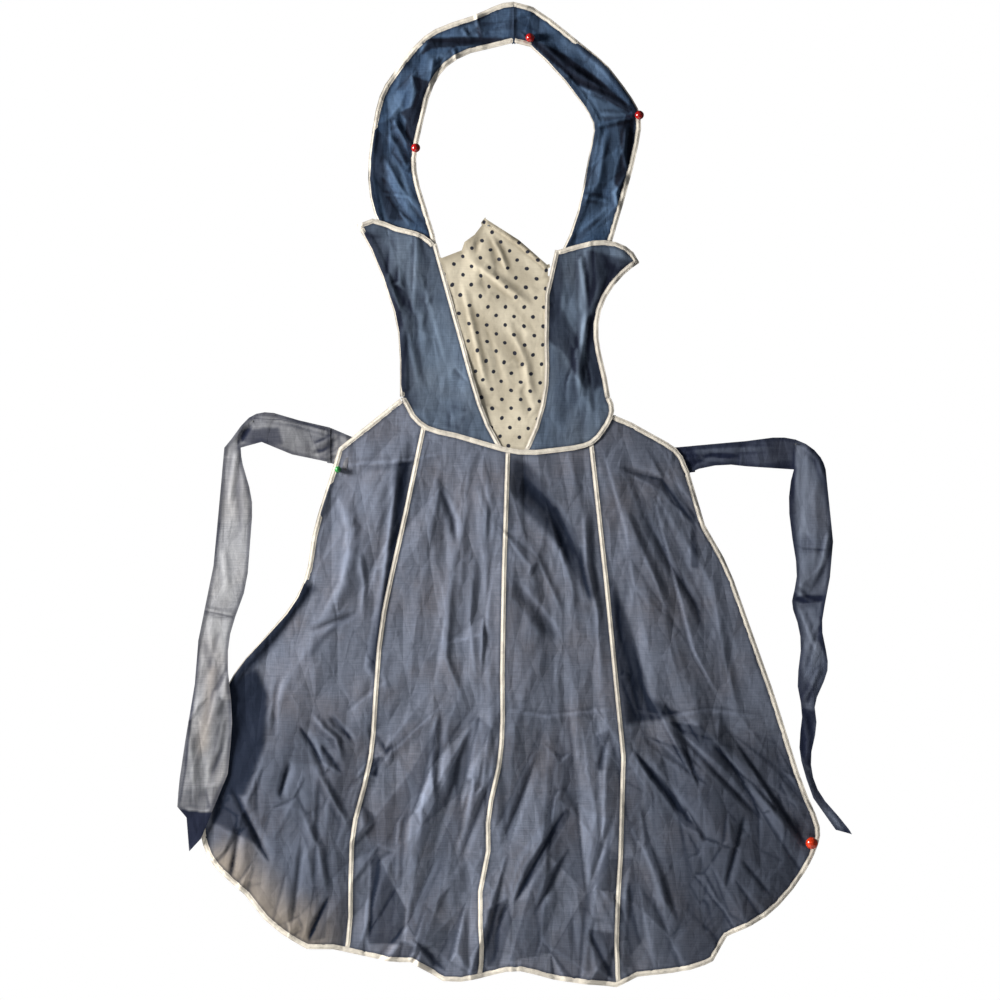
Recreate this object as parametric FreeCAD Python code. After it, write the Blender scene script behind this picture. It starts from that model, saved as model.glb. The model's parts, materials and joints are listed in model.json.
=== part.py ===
import FreeCAD, Part
import os
from FreeCAD import Vector

# A bib apron with a halter neck loop and two waist ties, hung flat against a wall on eight pins.
# Frame: +Z up, +X to the right of someone facing the wall, +Y into the wall, whose face is y = 0.
# The origin is where the axis of the top ball-head pin meets the wall. Millimetres.

# --- driving dimensions ---------------------------------------------------------------------
CLOTH = 0.8            # thickness that stands for one layer of cloth with its turned edges
LAYER_GAP = 0.4        # air between two layers that lie on each other
WALL_GAP = 0.6         # air between the wall and the rearmost layer
BINDING = 5.5          # visible width of the bias tape that binds every edge
PIPING = 5.0           # visible width of the tape laid over the seams
SPLIT = 0.3            # half the slit where one cloth is cut into two rigid lengths
ROUNDNESS = 0.35       # how far a smooth outline may stray from its curve

WAIST_Z = -395.0       # line across the natural waist, where the skirt hangs from the bib
LOOP_JOIN_X = -18.0    # seam at the back of the neck, where the two straps meet
LEFT_ROOT_X = -219.5   # line where the left tie comes free of the skirt's edge
RIGHT_ROOT_X = 178.0   # line where the right tie comes free of the skirt's edge
LEFT_TAIL_Z = -450.0   # fold where the left tie turns down over its pin
RIGHT_TAIL_Z = -474.0  # fold where the right tie turns down over its pin

TIES, BODY, FRONT = 0, 1, 2   # the layers, from the wall outwards

PIN_IN_WALL = 17.0     # straight length of a pin in the wall
PIN_POINT = 3.0        # tapered point beyond it
NEEDLE_R = 0.5         # ball-head pin, in the wall
NECK_R = 0.7           # moulded neck of its head, through the cloth
SHANK_R = 0.3          # needle where it is moulded into the head
STEEL_R = 0.35         # plain steel pin
STEEL_HEAD_R = 0.95
STEEL_HEAD = 0.6
RED_BALL_R = 4.9
GREEN_BALL_R = 3.7
ORANGE_BALL_R = 6.6
TIP_R = 0.05           # blunt end of a pin's point
NECK_END = 0.2         # how far the neck stops short of the wall
FIT = 0.05             # room round a pin in the hole that it makes in the cloth

REACH = 1200.0         # further than any of the cloth reaches from the origin
DEPTH = 30.0           # further than the layers reach from the wall
CRUMB = 20.0           # scraps up to this volume are dropped when cloth is cut
SAME = 0.01            # places closer than this count as one


# --- lines and solids -----------------------------------------------------------------------
def layer_back(layer):
    return -(WALL_GAP + layer * (CLOTH + LAYER_GAP))


def layer_front(layer):
    return layer_back(layer) - CLOTH


def smooth(*points):
    """Places along one smooth curve through the given (x, z) points."""
    curve = Part.BSplineCurve()
    curve.interpolate([Vector(x, 0, z) for x, z in points])
    return curve.toShape().discretize(Deflection=ROUNDNESS)


def corner(*points):
    """Places joined by straight lines."""
    return [Vector(x, 0, z) for x, z in points]


def beside(places, width):
    """The line moved sideways in the plane of the cloth, to its left when the width is positive."""
    moved = []
    for i, place in enumerate(places):
        along = places[min(i + 1, len(places) - 1)] - places[max(i - 1, 0)]
        along.normalize()
        moved.append(place + Vector(-along.z, 0, along.x) * width)
    return moved


def flat(places, layer):
    """A flat piece of cloth with the given outline, in one layer."""
    loop = []
    for place in places:
        if not loop or place.distanceToPoint(loop[-1]) > SAME:
            loop.append(place)
    if loop[0].distanceToPoint(loop[-1]) < SAME:
        loop.pop()
    face = Part.Face(Part.makePolygon(loop + loop[:1]))
    face.translate(Vector(0, layer_back(layer), 0))
    return face.extrude(Vector(0, -CLOTH, 0))


def tape(places, width, layer):
    """A tape on one side of a line: on its left when the width is positive."""
    return flat(places + beside(places, width)[::-1], layer)


def centred_tape(places, width, layer):
    return flat(beside(places, width / 2) + beside(places, -width / 2)[::-1], layer)


def band_box(low_x, low_z, high_x, high_z):
    """A block through every layer, for cutting cloth along straight lines."""
    return Part.makeBox(high_x - low_x, 2 * DEPTH, high_z - low_z,
                        Vector(low_x, -DEPTH, low_z))


def less(shape, *tools):
    """The shape without the tools, as its real pieces from left to right, with no crumbs."""
    left = shape.cut(list(tools))
    pieces = [s for s in left.Solids if s.Volume > CRUMB]
    return sorted(pieces, key=lambda s: s.BoundBox.Center.x)


def largest(shape, *tools):
    return max(less(shape, *tools), key=lambda s: s.Volume)


def above(z):
    return band_box(-REACH, z, REACH, REACH)


def below(z):
    return band_box(-REACH, -REACH, REACH, z)


def left_of(x):
    return band_box(-REACH, -REACH, x, REACH)


def right_of(x):
    return band_box(x, -REACH, REACH, REACH)


os.makedirs("parts", exist_ok=True)
parts = {}

# --- neck loop ------------------------------------------------------------------------------
# Two shaped straps of the dress cloth, sewn together at the back of the neck and bound on both
# edges. Their lower ends are sewn on behind the top of the bib.
outer_left = smooth((-161, -216), (-178, -142), (-174, -106), (-161, -54), (-145, -31),
                    (-108, 8), (-84, 18), (-57, 27), (-22, 40), (-18, 40))
outer_right = smooth((-18, 40), (2, 35), (19, 24), (58, -7), (84, -29), (106, -57),
                     (121, -84), (118, -122), (106, -170), (86, -238))
inner_left = smooth((-101, -238), (-116, -180), (-125, -128), (-121, -108), (-108, -57),
                    (-96, -36), (-72, -19), (-32, -8), (-18, -5))
inner_right = smooth((-18, -5), (-4, -7), (13, -21), (34, -43), (56, -71), (70, -99),
                     (67, -118), (56, -175), (30, -244))

strap_left_blank = flat(outer_left + inner_left[::-1], BODY)
strap_right_blank = flat(outer_right + inner_right[::-1], BODY)
past_join_right = right_of(LOOP_JOIN_X)
past_join_left = left_of(LOOP_JOIN_X)
parts["neck_outer_binding_left"] = largest(tape(outer_left, -BINDING, BODY), past_join_right)
parts["neck_outer_binding_right"] = largest(tape(outer_right, -BINDING, BODY), past_join_left)
parts["neck_inner_binding_left"] = largest(tape(inner_left, BINDING, BODY), past_join_right)
parts["neck_inner_binding_right"] = largest(tape(inner_right, BINDING, BODY), past_join_left)
parts["neck_strap_left"] = largest(strap_left_blank, parts["neck_outer_binding_left"],
                                   parts["neck_inner_binding_left"], past_join_right)
parts["neck_strap_right"] = largest(strap_right_blank, parts["neck_outer_binding_right"],
                                    parts["neck_inner_binding_right"], past_join_left)

# --- bib ------------------------------------------------------------------------------------
# Two side panels that end in pointed wings, with a dotted inset between them. The panels run on
# below the waist to a rounded yoke edge that lies over the top of the skirt.
wing_top_left = smooth((-190, -205), (-164, -200), (-150, -206), (-130, -211), (-105, -226))
side_left = smooth((-190, -206), (-168, -248), (-155, -284), (-147, -312), (-143, -360),
                   (-143, -394))
yoke = smooth((-143, -394), (-135, -411), (-114, -431), (-88, -438), (-43, -451), (-7, -458),
              (40, -454), (70, -446), (84, -430), (92, -413), (88, -394))
side_right = smooth((88, -394), (80, -355), (75, -317), (79, -296), (100, -263), (120, -247))
wing_top_right = smooth((120, -246), (110, -232), (94, -224), (74, -222), (54, -226),
                        (30, -233))
inset_left = smooth((-105, -226), (-95, -252), (-87, -279), (-79, -317), (-67, -364),
                    (-54, -407), (-31, -454))
inset_right = smooth((30, -233), (21, -248), (19, -279), (18, -330), (18, -381), (13, -409),
                     (-7, -458))
inset_hem = smooth((-48, -199), (-39, -207), (-17, -219), (3, -233), (20, -250))
inset_top = corner((-98, -242), (-75, -233), (-72, -224), (-61, -216)) + inset_hem

parts["wing_binding_left"] = tape(wing_top_left, -BINDING, FRONT)
parts["wing_binding_right"] = tape(wing_top_right, BINDING, FRONT)
seam_left = centred_tape(inset_left, PIPING, FRONT)
seam_right = centred_tape(inset_right, PIPING, FRONT)
edge_left = tape(side_left, BINDING, FRONT)
edge_right = tape(side_right, BINDING, FRONT)
yoke_edge = tape(yoke, BINDING, FRONT)
seam_left = largest(seam_left, parts["wing_binding_left"], yoke_edge)
seam_right = largest(seam_right, parts["wing_binding_right"], yoke_edge)
edge_left = largest(edge_left, parts["wing_binding_left"])
edge_right = largest(edge_right, parts["wing_binding_right"])

bib_blank = flat(side_left + yoke + side_right + wing_top_right + inset_right
                 + inset_left[::-1] + wing_top_left[::-1], FRONT)
inset_blank = flat(inset_top + inset_right[1:] + inset_left[::-1][:-1], FRONT)
panel_left, panel_right = less(bib_blank, edge_left, edge_right, yoke_edge, seam_left,
                               seam_right, parts["wing_binding_left"],
                               parts["wing_binding_right"])[:2]
inset_hem_tape = tape(inset_hem, -BINDING, FRONT)
inset_hem_tape = largest(inset_hem_tape, seam_left, seam_right)
inset = largest(inset_blank, seam_left, seam_right, yoke_edge, inset_hem_tape)

# The cloth is cut along the waist: the parts above belong to the bib, the yoke points below it
# hang with the skirt.
bib_trim = below(WAIST_Z + SPLIT)
point_trim = above(WAIST_Z - SPLIT)
parts["bib_panel_left"] = largest(panel_left, bib_trim)
parts["bib_panel_right"] = largest(panel_right, bib_trim)
parts["bib_inset"] = largest(inset, bib_trim)
parts["inset_hem"] = inset_hem_tape
parts["bib_side_binding_left"] = largest(edge_left, bib_trim)
parts["bib_side_binding_right"] = largest(edge_right, bib_trim)
parts["inset_piping_left"] = largest(seam_left, bib_trim)
parts["inset_piping_right"] = largest(seam_right, bib_trim)
parts["yoke_point_left"] = largest(panel_left, point_trim)
parts["yoke_point_right"] = largest(panel_right, point_trim)
parts["yoke_point_inset"] = largest(inset, point_trim)
parts["inset_piping_end_left"] = largest(seam_left, point_trim)
parts["inset_piping_end_right"] = largest(seam_right, point_trim)
parts["yoke_piping"] = largest(yoke_edge, point_trim)

# --- skirt ----------------------------------------------------------------------------------
# Four gores with tape over their three seams. One long binding runs down the left side, round the
# hem and up the right side.
skirt_stretches = (
    smooth((-143, -396), (-164, -418), (-200, -437), (-216, -464), (-224, -495), (-238, -541),
           (-247, -592), (-286, -652), (-333, -713), (-348, -794), (-361, -878), (-350, -905),
           (-309, -945), (-292, -967), (-270, -985), (-245, -1000)),
    smooth((-245, -1000), (-204, -1003), (-162, -1013), (-131, -1015)),
    smooth((-131, -1015), (-118, -1025), (-100, -1035), (-80, -1037), (-50, -1032),
           (-12, -1025), (19, -1033), (60, -1039), (95, -1043)),
    smooth((95, -1043), (104, -1036), (135, -1030), (169, -1025), (201, -1014)),
    smooth((201, -1014), (206, -997), (248, -972), (274, -952), (298, -923), (314, -893),
           (319, -874), (309, -842), (289, -787), (263, -706), (235, -628), (208, -562),
           (190, -530), (184, -508), (176, -480), (160, -450), (145, -441), (117, -425),
           (92, -414)),
)
skirt_edge = [place for stretch in skirt_stretches for place in stretch]
seams = {
    "left": smooth((-117, -428), (-127, -475), (-143, -552), (-160, -629), (-169, -712),
                   (-179, -810), (-193, -864), (-197, -957), (-203, -1012)),
    "centre": smooth((-24, -448), (-24, -508), (-28, -574), (-31, -662), (-30, -740),
                     (-36, -810), (-46, -859), (-46, -895), (-55, -940), (-53, -1000),
                     (-58, -1040)),
    "right": smooth((67, -443), (74, -486), (77, -552), (86, -618), (86, -662), (92, -706),
                    (102, -779), (103, -831), (100, -895), (96, -960), (98, -1048)),
}
# The skirt's own top edge is tucked under the yoke.
skirt_top = smooth((-143, -396), (-135, -411), (-114, -431), (-88, -438), (-43, -451),
                   (-7, -458), (40, -454), (70, -446), (84, -430), (92, -414))
skirt_blank = flat(skirt_edge + skirt_top[::-1], BODY)
# The binding is mitred round a disc at each corner of the hem.
hem_corners = [Part.makeCylinder(BINDING, CLOTH, stretch[0] + Vector(0, layer_front(BODY), 0),
                                 Vector(0, 1, 0)) for stretch in skirt_stretches[1:]]
edge_tapes = [tape(stretch, BINDING, BODY) for stretch in skirt_stretches] + hem_corners
edge_tapes = edge_tapes[0].fuse(edge_tapes[1:])
parts["skirt_binding"] = largest(edge_tapes.common(skirt_blank).removeSplitter())
skirt_inside = largest(skirt_blank, parts["skirt_binding"])
for side, seam in seams.items():
    strip = centred_tape(seam, PIPING, BODY)
    parts["seam_piping_" + side] = max(strip.common(skirt_inside).Solids,
                                       key=lambda s: s.Volume)
gores = less(skirt_inside, *[parts["seam_piping_" + side] for side in seams])
for name, gore in zip(("side_left", "centre_left", "centre_right", "side_right"), gores):
    parts["skirt_gore_" + name] = gore

# --- waist ties -----------------------------------------------------------------------------
# Each tie is sewn on behind the skirt's edge, runs out sideways to its pin, and hangs down from
# there. The sewn root, the run and the hanging tail are the rigid lengths of one band of cloth.
tie_left = flat(smooth((-196, -438), (-230, -425), (-261, -418), (-288, -411), (-304, -414),
                       (-322, -432), (-336, LEFT_TAIL_Z + SPLIT))
                + smooth((-318, LEFT_TAIL_Z + SPLIT), (-312, -444), (-294, -444),
                         (-263, -457), (-241, -462), (-221, -466), (-202, -476)), TIES)
parts["left_tie_root"] = largest(tie_left, left_of(LEFT_ROOT_X + SPLIT))
tie_left.translate(Vector(0, layer_back(BODY) - layer_back(TIES), 0))
parts["left_tie"] = largest(tie_left, right_of(LEFT_ROOT_X - SPLIT))
parts["left_tail"] = flat(
    smooth((-336, LEFT_TAIL_Z - SPLIT), (-331, -470), (-338, -528), (-346, -572),
           (-361, -630), (-366, -691), (-384, -810), (-387, -844))
    + corner((-377, -856), (-374, -893))
    + smooth((-361, -879), (-344, -860), (-331, -798), (-327, -740), (-331, -702),
             (-327, -645), (-315, -612), (-307, -545), (-306, -505), (-317, -462),
             (-318, LEFT_TAIL_Z - SPLIT)), FRONT)

tie_right = flat(smooth((156, -450), (190, -446), (235, -443), (292, -441), (314, -454),
                        (325, RIGHT_TAIL_Z + SPLIT))
                 + smooth((290, RIGHT_TAIL_Z + SPLIT), (271, -473), (249, -472), (226, -469),
                          (195, -471), (165, -482)), TIES)
parts["right_tie_root"] = largest(tie_right, right_of(RIGHT_ROOT_X - SPLIT))
tie_right.translate(Vector(0, layer_back(BODY) - layer_back(TIES), 0))
parts["right_tie"] = largest(tie_right, left_of(RIGHT_ROOT_X + SPLIT))
parts["right_tail"] = flat(
    smooth((325, RIGHT_TAIL_Z - SPLIT), (333, -500), (333, -556), (327, -609), (321, -650),
           (327, -695), (313, -737), (315, -752), (310, -780), (310, -807), (318, -829),
           (345, -862), (354, -875))
    + smooth((336, -870), (316, -845), (304, -815), (296, -774), (299, -740), (294, -710),
             (297, -680), (293, -639), (288, -622), (292, -600), (290, -560),
             (290, RIGHT_TAIL_Z - SPLIT)), BODY)


# --- pins -----------------------------------------------------------------------------------
def along_y(x, z, radius, start, end):
    return Part.makeCylinder(radius, end - start, Vector(x, start, z), Vector(0, 1, 0))


def ball_pin(name, x, z, ball_r, layer):
    """A pin with a moulded ball head: the head with its neck, and the steel needle in it."""
    middle = layer_front(layer) - LAYER_GAP - ball_r
    head = Part.makeSphere(ball_r, Vector(x, middle, z))
    head = head.fuse(along_y(x, z, NECK_R, middle, -NECK_END))
    head = head.cut(along_y(x, z, SHANK_R, middle, 0))
    needle = along_y(x, z, SHANK_R, middle, -NECK_END)
    needle = needle.fuse(along_y(x, z, NEEDLE_R, -NECK_END, PIN_IN_WALL))
    point = Part.makeCone(NEEDLE_R, TIP_R, PIN_POINT, Vector(x, PIN_IN_WALL, z),
                          Vector(0, 1, 0))
    parts[name + "_head"] = head
    parts[name + "_needle"] = needle.fuse(point)
    return along_y(x, z, NECK_R + FIT, -DEPTH, DEPTH)


def steel_pin(name, x, z, layer):
    """A plain dressmaker's pin, head and shaft in one piece of steel."""
    start = layer_front(layer) - LAYER_GAP
    head = along_y(x, z, STEEL_HEAD_R, start - STEEL_HEAD, start)
    shaft = along_y(x, z, STEEL_R, start, PIN_IN_WALL)
    point = Part.makeCone(STEEL_R, TIP_R, PIN_POINT, Vector(x, PIN_IN_WALL, z),
                          Vector(0, 1, 0))
    parts[name] = head.fuse([shaft, point]).removeSplitter()
    return along_y(x, z, STEEL_R + FIT, -DEPTH, DEPTH)


cloth = list(parts)
holes = [
    ball_pin("top_pin", 0, 0, RED_BALL_R, BODY),
    ball_pin("right_pin", 120, -85, RED_BALL_R, BODY),
    ball_pin("left_pin", -125.5, -121, RED_BALL_R, BODY),
    ball_pin("waist_pin", -211, -474, GREEN_BALL_R, BODY),
    ball_pin("hem_pin", 309, -884, ORANGE_BALL_R, BODY),
    steel_pin("left_tie_pin", -305, -421, BODY),
    steel_pin("right_tie_pin", 292, -446, BODY),
    steel_pin("inset_pin", -46, -206, FRONT),
]
for name in cloth:
    for hole in holes:
        if parts[name].common(hole).Volume > 0:
            parts[name] = parts[name].cut(hole)

for name, shape in parts.items():
    shape.exportStep("parts/" + name + ".step")
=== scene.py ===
import json
import math

import bpy
import numpy as np
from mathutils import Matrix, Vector, geometry
from mathutils.kdtree import KDTree


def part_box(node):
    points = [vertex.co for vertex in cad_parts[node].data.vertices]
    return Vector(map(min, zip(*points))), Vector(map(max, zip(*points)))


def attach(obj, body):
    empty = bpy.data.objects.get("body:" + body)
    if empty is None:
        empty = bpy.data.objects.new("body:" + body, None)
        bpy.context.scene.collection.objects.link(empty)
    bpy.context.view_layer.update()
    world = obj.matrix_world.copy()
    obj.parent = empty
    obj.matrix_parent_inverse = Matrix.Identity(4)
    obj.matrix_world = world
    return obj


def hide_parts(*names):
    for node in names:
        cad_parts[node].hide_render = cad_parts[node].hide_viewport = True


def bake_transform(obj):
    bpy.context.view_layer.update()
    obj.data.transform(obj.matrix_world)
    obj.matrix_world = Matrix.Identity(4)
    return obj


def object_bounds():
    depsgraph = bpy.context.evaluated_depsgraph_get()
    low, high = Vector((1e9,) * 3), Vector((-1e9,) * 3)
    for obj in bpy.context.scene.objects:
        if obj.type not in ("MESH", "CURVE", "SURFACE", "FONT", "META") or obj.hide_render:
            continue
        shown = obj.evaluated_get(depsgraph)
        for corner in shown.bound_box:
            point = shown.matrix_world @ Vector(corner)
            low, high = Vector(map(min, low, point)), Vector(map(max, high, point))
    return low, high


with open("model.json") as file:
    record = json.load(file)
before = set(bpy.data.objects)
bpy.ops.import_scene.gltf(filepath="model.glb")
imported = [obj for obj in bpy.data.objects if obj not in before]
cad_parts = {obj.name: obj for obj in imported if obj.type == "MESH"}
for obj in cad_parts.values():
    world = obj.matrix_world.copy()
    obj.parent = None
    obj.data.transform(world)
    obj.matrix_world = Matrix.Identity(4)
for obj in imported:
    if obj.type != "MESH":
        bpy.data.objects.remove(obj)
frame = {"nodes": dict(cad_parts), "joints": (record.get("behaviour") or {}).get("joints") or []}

# A bib apron pinned flat to a wall. Every piece of cloth is cut to the outline of its CAD plate,
# laid out as a fine net of triangles, and pushed forward by a map of the folds in that cloth.
# The points of folds and shades are listed as x, z, x, z ... in millimetres from the top pin, x to
# the right and z up. They were read off the photograph, fold by fold.
# Everything else is in metres.

cad_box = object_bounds()
scene = bpy.context.scene
MM = 0.001
joints = {j["name"]: j for j in frame["joints"]}
WAIST = joints["waist_fold"]["pos_m"][2]
LEFT_ROOT = joints["left_tie_swing"]["pos_m"][0]
RIGHT_ROOT = joints["right_tie_swing"]["pos_m"][0]
LEFT_TURN = joints["left_tail_swing"]["pos_m"][2]
RIGHT_TURN = joints["right_tail_swing"]["pos_m"][2]

CLOTH_THICK = 0.35 * MM
TAPE_THICK = 1.1 * MM
TAPE_PROUD = 0.45 * MM     # how far a tape stands in front of the cloth that it binds
UNDER_TAPE = 2.4 * MM      # how far each cloth runs on under the tape on its edge
TAPE_WIDE = 5.6 * MM
TAPE_SHOWS = 0.9 * MM      # how much of a tape shows where the edge is rolled under
STITCH_IN = 1.15 * MM      # how far the stitching is from a tape's edge
STITCH_PITCH = 2.6 * MM
OVER_SEAM = 0.1 * MM       # how much further forward a tape over a seam lies than one on an edge
ROOT_LAP = 3.5 * MM        # how far a tie's root runs on behind the tie
ROOT_BACK = 0.6 * MM       # how far it lies behind the tie
TAIL_FORWARD = 2.6 * MM    # how far the left tail stands in front of its tie
SKIRT_LEVEL = -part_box("skirt_gore_centre_left")[0].y
BIB_LEVEL = -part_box("bib_panel_left")[0].y
TIE_LEVEL = -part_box("left_tie")[0].y
CUT_LINES = ((1, WAIST), (1, LEFT_TURN), (1, RIGHT_TURN), (0, LEFT_ROOT), (0, RIGHT_ROOT))
SMALLEST_RING = 40 * MM * MM
CREST = 0.7                # how bright the painted highlight beside a painted dark hollow is, against its painted shade
TIE_FOLDS = 0.6            # how high the ties' folds are, against their listed heights
YOKE_FAN = (-20, -150, -1, 600)    # where the skirt's creases fan out from, up round it
# Nets: the distance between points. They are finer where the cloth is narrower.
PANEL_NET, STRAP_NET, TIE_NET, TAPE_NET, HEM_NET = 1.9 * MM, 1.7 * MM, 1.6 * MM, 1.25 * MM, 1.2 * MM
ROW_APART = 0.866          # the height of an equal-sided triangle on a side of 1
CLEAR_OF_EDGE = 0.62       # how far inner points stay from the edge, in net distances
AROUND, BALL_RINGS, COLLAR_R = 40, 26, 0.7 * MM    # a pin head's faces, and its collar
FLOOR_R, FLOOR_DROP = 0.85, 0.20
AMBIENT = 0.10
VIEW_WIDE = 1.1            # metres across the picture, at the cloth
CAMERA_BACK = 3.4
SENSOR = 36
PHOTO_LEFT, PHOTO_DOWN = 0.0165, 0.006    # how far the photo's centre is from the apron's


# --- noise and fold maps --------------------------------------------------------------------
def bumps(x, z, size, seed):
    """Smooth random heights from about -1 to 1, in bumps about `size` metres across."""
    table = np.random.default_rng(seed).uniform(-1, 1, (64, 64))
    u = np.asarray(x) / size + 21.3
    v = np.asarray(z) / size + 33.7
    i, j = np.floor(u).astype(int), np.floor(v).astype(int)
    fu, fv = u - i, v - j
    fu, fv = fu * fu * (3 - 2 * fu), fv * fv * (3 - 2 * fv)
    near = table[i % 64, j % 64] * (1 - fu) + table[(i + 1) % 64, j % 64] * fu
    far = table[i % 64, (j + 1) % 64] * (1 - fu) + table[(i + 1) % 64, (j + 1) % 64] * fu
    return near * (1 - fv) + far * fv


def ramp(value, low, high):
    """0 below low, 1 above high and smooth between; low may be the larger of the two."""
    t = np.clip((value - low) / (high - low), 0, 1)
    return t * t * (3 - 2 * t)


def blurred(grid):
    """The grid with every value averaged with the ones beside it."""
    for axis in (0, 1):
        grid = (np.roll(grid, 1, axis) + 2 * grid + np.roll(grid, -1, axis)) / 4
    return grid


class Folds:
    """How far a cloth stands forward, and the shade and light painted on it, on a fine grid over
    its area.
    """

    def __init__(self, nodes, step=1.2 * MM, margin=12 * MM):
        low = np.min([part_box(n)[0] for n in nodes], axis=0)
        high = np.max([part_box(n)[1] for n in nodes], axis=0)
        self.step = step
        self.x0, self.z0 = low[0] - margin, low[2] - margin
        xs = np.arange(self.x0, high[0] + margin, step)
        zs = np.arange(self.z0, high[2] + margin, step)
        self.x, self.z = np.meshgrid(xs, zs)
        for layer in ("height", "painted_shade", "tan", "light", "roll"):
            setattr(self, layer, np.zeros_like(self.x))

    def _near(self, line, reach):
        """The patch of grid within reach of a line, and each point's place along and across it."""
        low, high = line.min(0) - reach, line.max(0) + reach
        i0 = max(int((low[1] - self.z0) / self.step), 0)
        i1 = min(int((high[1] - self.z0) / self.step) + 2, self.x.shape[0])
        j0 = max(int((low[0] - self.x0) / self.step), 0)
        j1 = min(int((high[0] - self.x0) / self.step) + 2, self.x.shape[1])
        if i0 >= i1 or j0 >= j1:
            return None
        patch = (slice(i0, i1), slice(j0, j1))
        x, z = self.x[patch], self.z[patch]
        best = np.full(x.shape, 1e9)
        across, along = np.zeros(x.shape), np.zeros(x.shape)
        lengths = np.linalg.norm(np.diff(line, axis=0), axis=1)
        run, total = 0.0, lengths.sum()
        for a, b, length in zip(line[:-1], line[1:], lengths):
            dx, dz = (b - a) / length
            t = np.clip((x - a[0]) * dx + (z - a[1]) * dz, 0, length)
            ox, oz = x - a[0] - t * dx, z - a[1] - t * dz
            gap = np.hypot(ox, oz)
            closer = gap < best
            best = np.where(closer, gap, best)
            side = np.where(ox * dz - oz * dx > 0, -1, 1)
            across = np.where(closer, gap * side, across)
            along = np.where(closer, (run + t) / total, along)
            run += length
        return patch, across, along

    def _profile(self, points, left, right, sharp, start, end):
        line = np.reshape(points, (-1, 2)) * MM
        if line[0, 1] < line[-1, 1]:
            line = line[::-1]
            start, end = end, start
        found = self._near(line, max(left, right) * MM)
        if found is None:
            return None
        patch, across, along = found
        width = np.where(across < 0, left, right) * MM
        shape = np.clip(1 - np.abs(across) / width, 0, 1)
        shape = np.where(sharp, shape ** 1.5, shape * shape * (3 - 2 * shape))
        taper = ramp(along, 0, start) * ramp(along, 1, 1 - end)
        return patch, shape * taper

    def fold(self, points, height, left=9, right=6, sharp=True, start=0.35, end=0.35):
        """A ridge along a line, or a valley if height is below 0, in mm. left and right are how
        wide its two sides are, as seen; start and end how much of it fades in and out."""
        made = self._profile(points, left, right, sharp, start, end)
        if made:
            self.height[made[0]] += height * MM * made[1]

    def shade(self, points, amount, left, right, kind="painted_shade", start=0.25, end=0.25):
        """Lays painted shade, or the layer `kind`, along a line, out to `left` and `right` mm on
        its sides.
        """
        made = self._profile(points, left, right, False, start, end)
        if made:
            layer = getattr(self, kind)
            layer[made[0]] = np.maximum(layer[made[0]], amount * made[1])

    def patch(self, points, amount, kind="painted_shade", soft=3):
        """Lays painted shade, or the layer `kind`, inside a polygon, with an edge that fades over
        about `soft` steps. Painted shade has a painted highlight along its left side, on the crest."""
        ring = np.reshape(points, (-1, 2)) * MM
        (i0, j0), (i1, j1) = [np.floor((c - (self.x0, self.z0))[::-1] / self.step).astype(int)
                              for c in (ring.min(0), ring.max(0))]
        edge = 2 * soft + 2
        part = (slice(max(i0 - edge, 0), i1 + edge), slice(max(j0 - edge, 0), j1 + edge))
        x, z = self.x[part], self.z[part]
        spots = np.column_stack([x.ravel(), z.ravel()])
        mask = inside(spots, [ring]).reshape(x.shape).astype(float)
        for _ in range(soft * soft):
            mask = blurred(mask)
        layer = getattr(self, kind)
        layer[part] = np.maximum(layer[part], amount * mask)
        if kind == "painted_shade":
            crest = np.roll(mask, -3, 1) * (1 - mask)
            self.light[part] = np.maximum(self.light[part], CREST * amount * crest)

    def patches(self, kind, soft, listed):
        """Patches of one kind, each listed as its amount and its points."""
        for amount, *points in listed:
            self.patch(points, amount, kind, soft)

    def folds(self, listed, share=1.0, start=0.35, end=0.35):
        """Folds, each listed as its points, its height and how wide its two sides are."""
        for *points, height, left, right in listed:
            self.fold(points, share * height, left, right, start=start, end=end)

    def pleats(self, lean, apart, height, seed, where, steep, length, cover=0.0):
        """Sharp folds side by side that fall from the centre of a fan, or lean from that by so
        many degrees. They come and go; `cover` moves how much of the cloth has them."""
        x, z = self.x - YOKE_FAN[0] * MM, YOKE_FAN[1] * MM - self.z
        angle, reach = np.arctan2(x, z) * YOKE_FAN[3] * MM, np.hypot(x, z)
        c, s = math.cos(math.radians(lean)), math.sin(math.radians(lean))
        across, along = angle * c - reach * s, angle * s + reach * c
        gap = apart * MM
        phase = across / gap + 0.8 * bumps(across / 6, along / 13, gap, seed)
        number = np.floor(phase).astype(int)
        t = phase - number
        wave = np.where(t < 1 - steep, t / (1 - steep), (1 - t) / steep)
        size = np.random.default_rng(seed).uniform(0.25, 1.0, 512)[number % 512]
        shift = np.random.default_rng(seed + 1).uniform(0, 50, 512)[number % 512]
        present = ramp(bumps(across / 40 + shift * gap, along / length, gap, seed + 2) + cover,
                       -0.15, 0.55)
        self.height += height * MM * wave * size * present * where

    def drape(self, centre, folds):
        """Soft folds that fan out from a point: each of `folds` is (degrees apart, mm high)."""
        x, z = self.x - centre[0] * MM, centre[1] * MM - self.z
        angle = np.degrees(np.arctan2(x, z))
        reach = np.hypot(x, z)
        for apart, height, seed in folds:
            self.height += height * MM * bumps(angle * MM / apart, reach * MM / 0.45, MM, seed)

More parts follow.
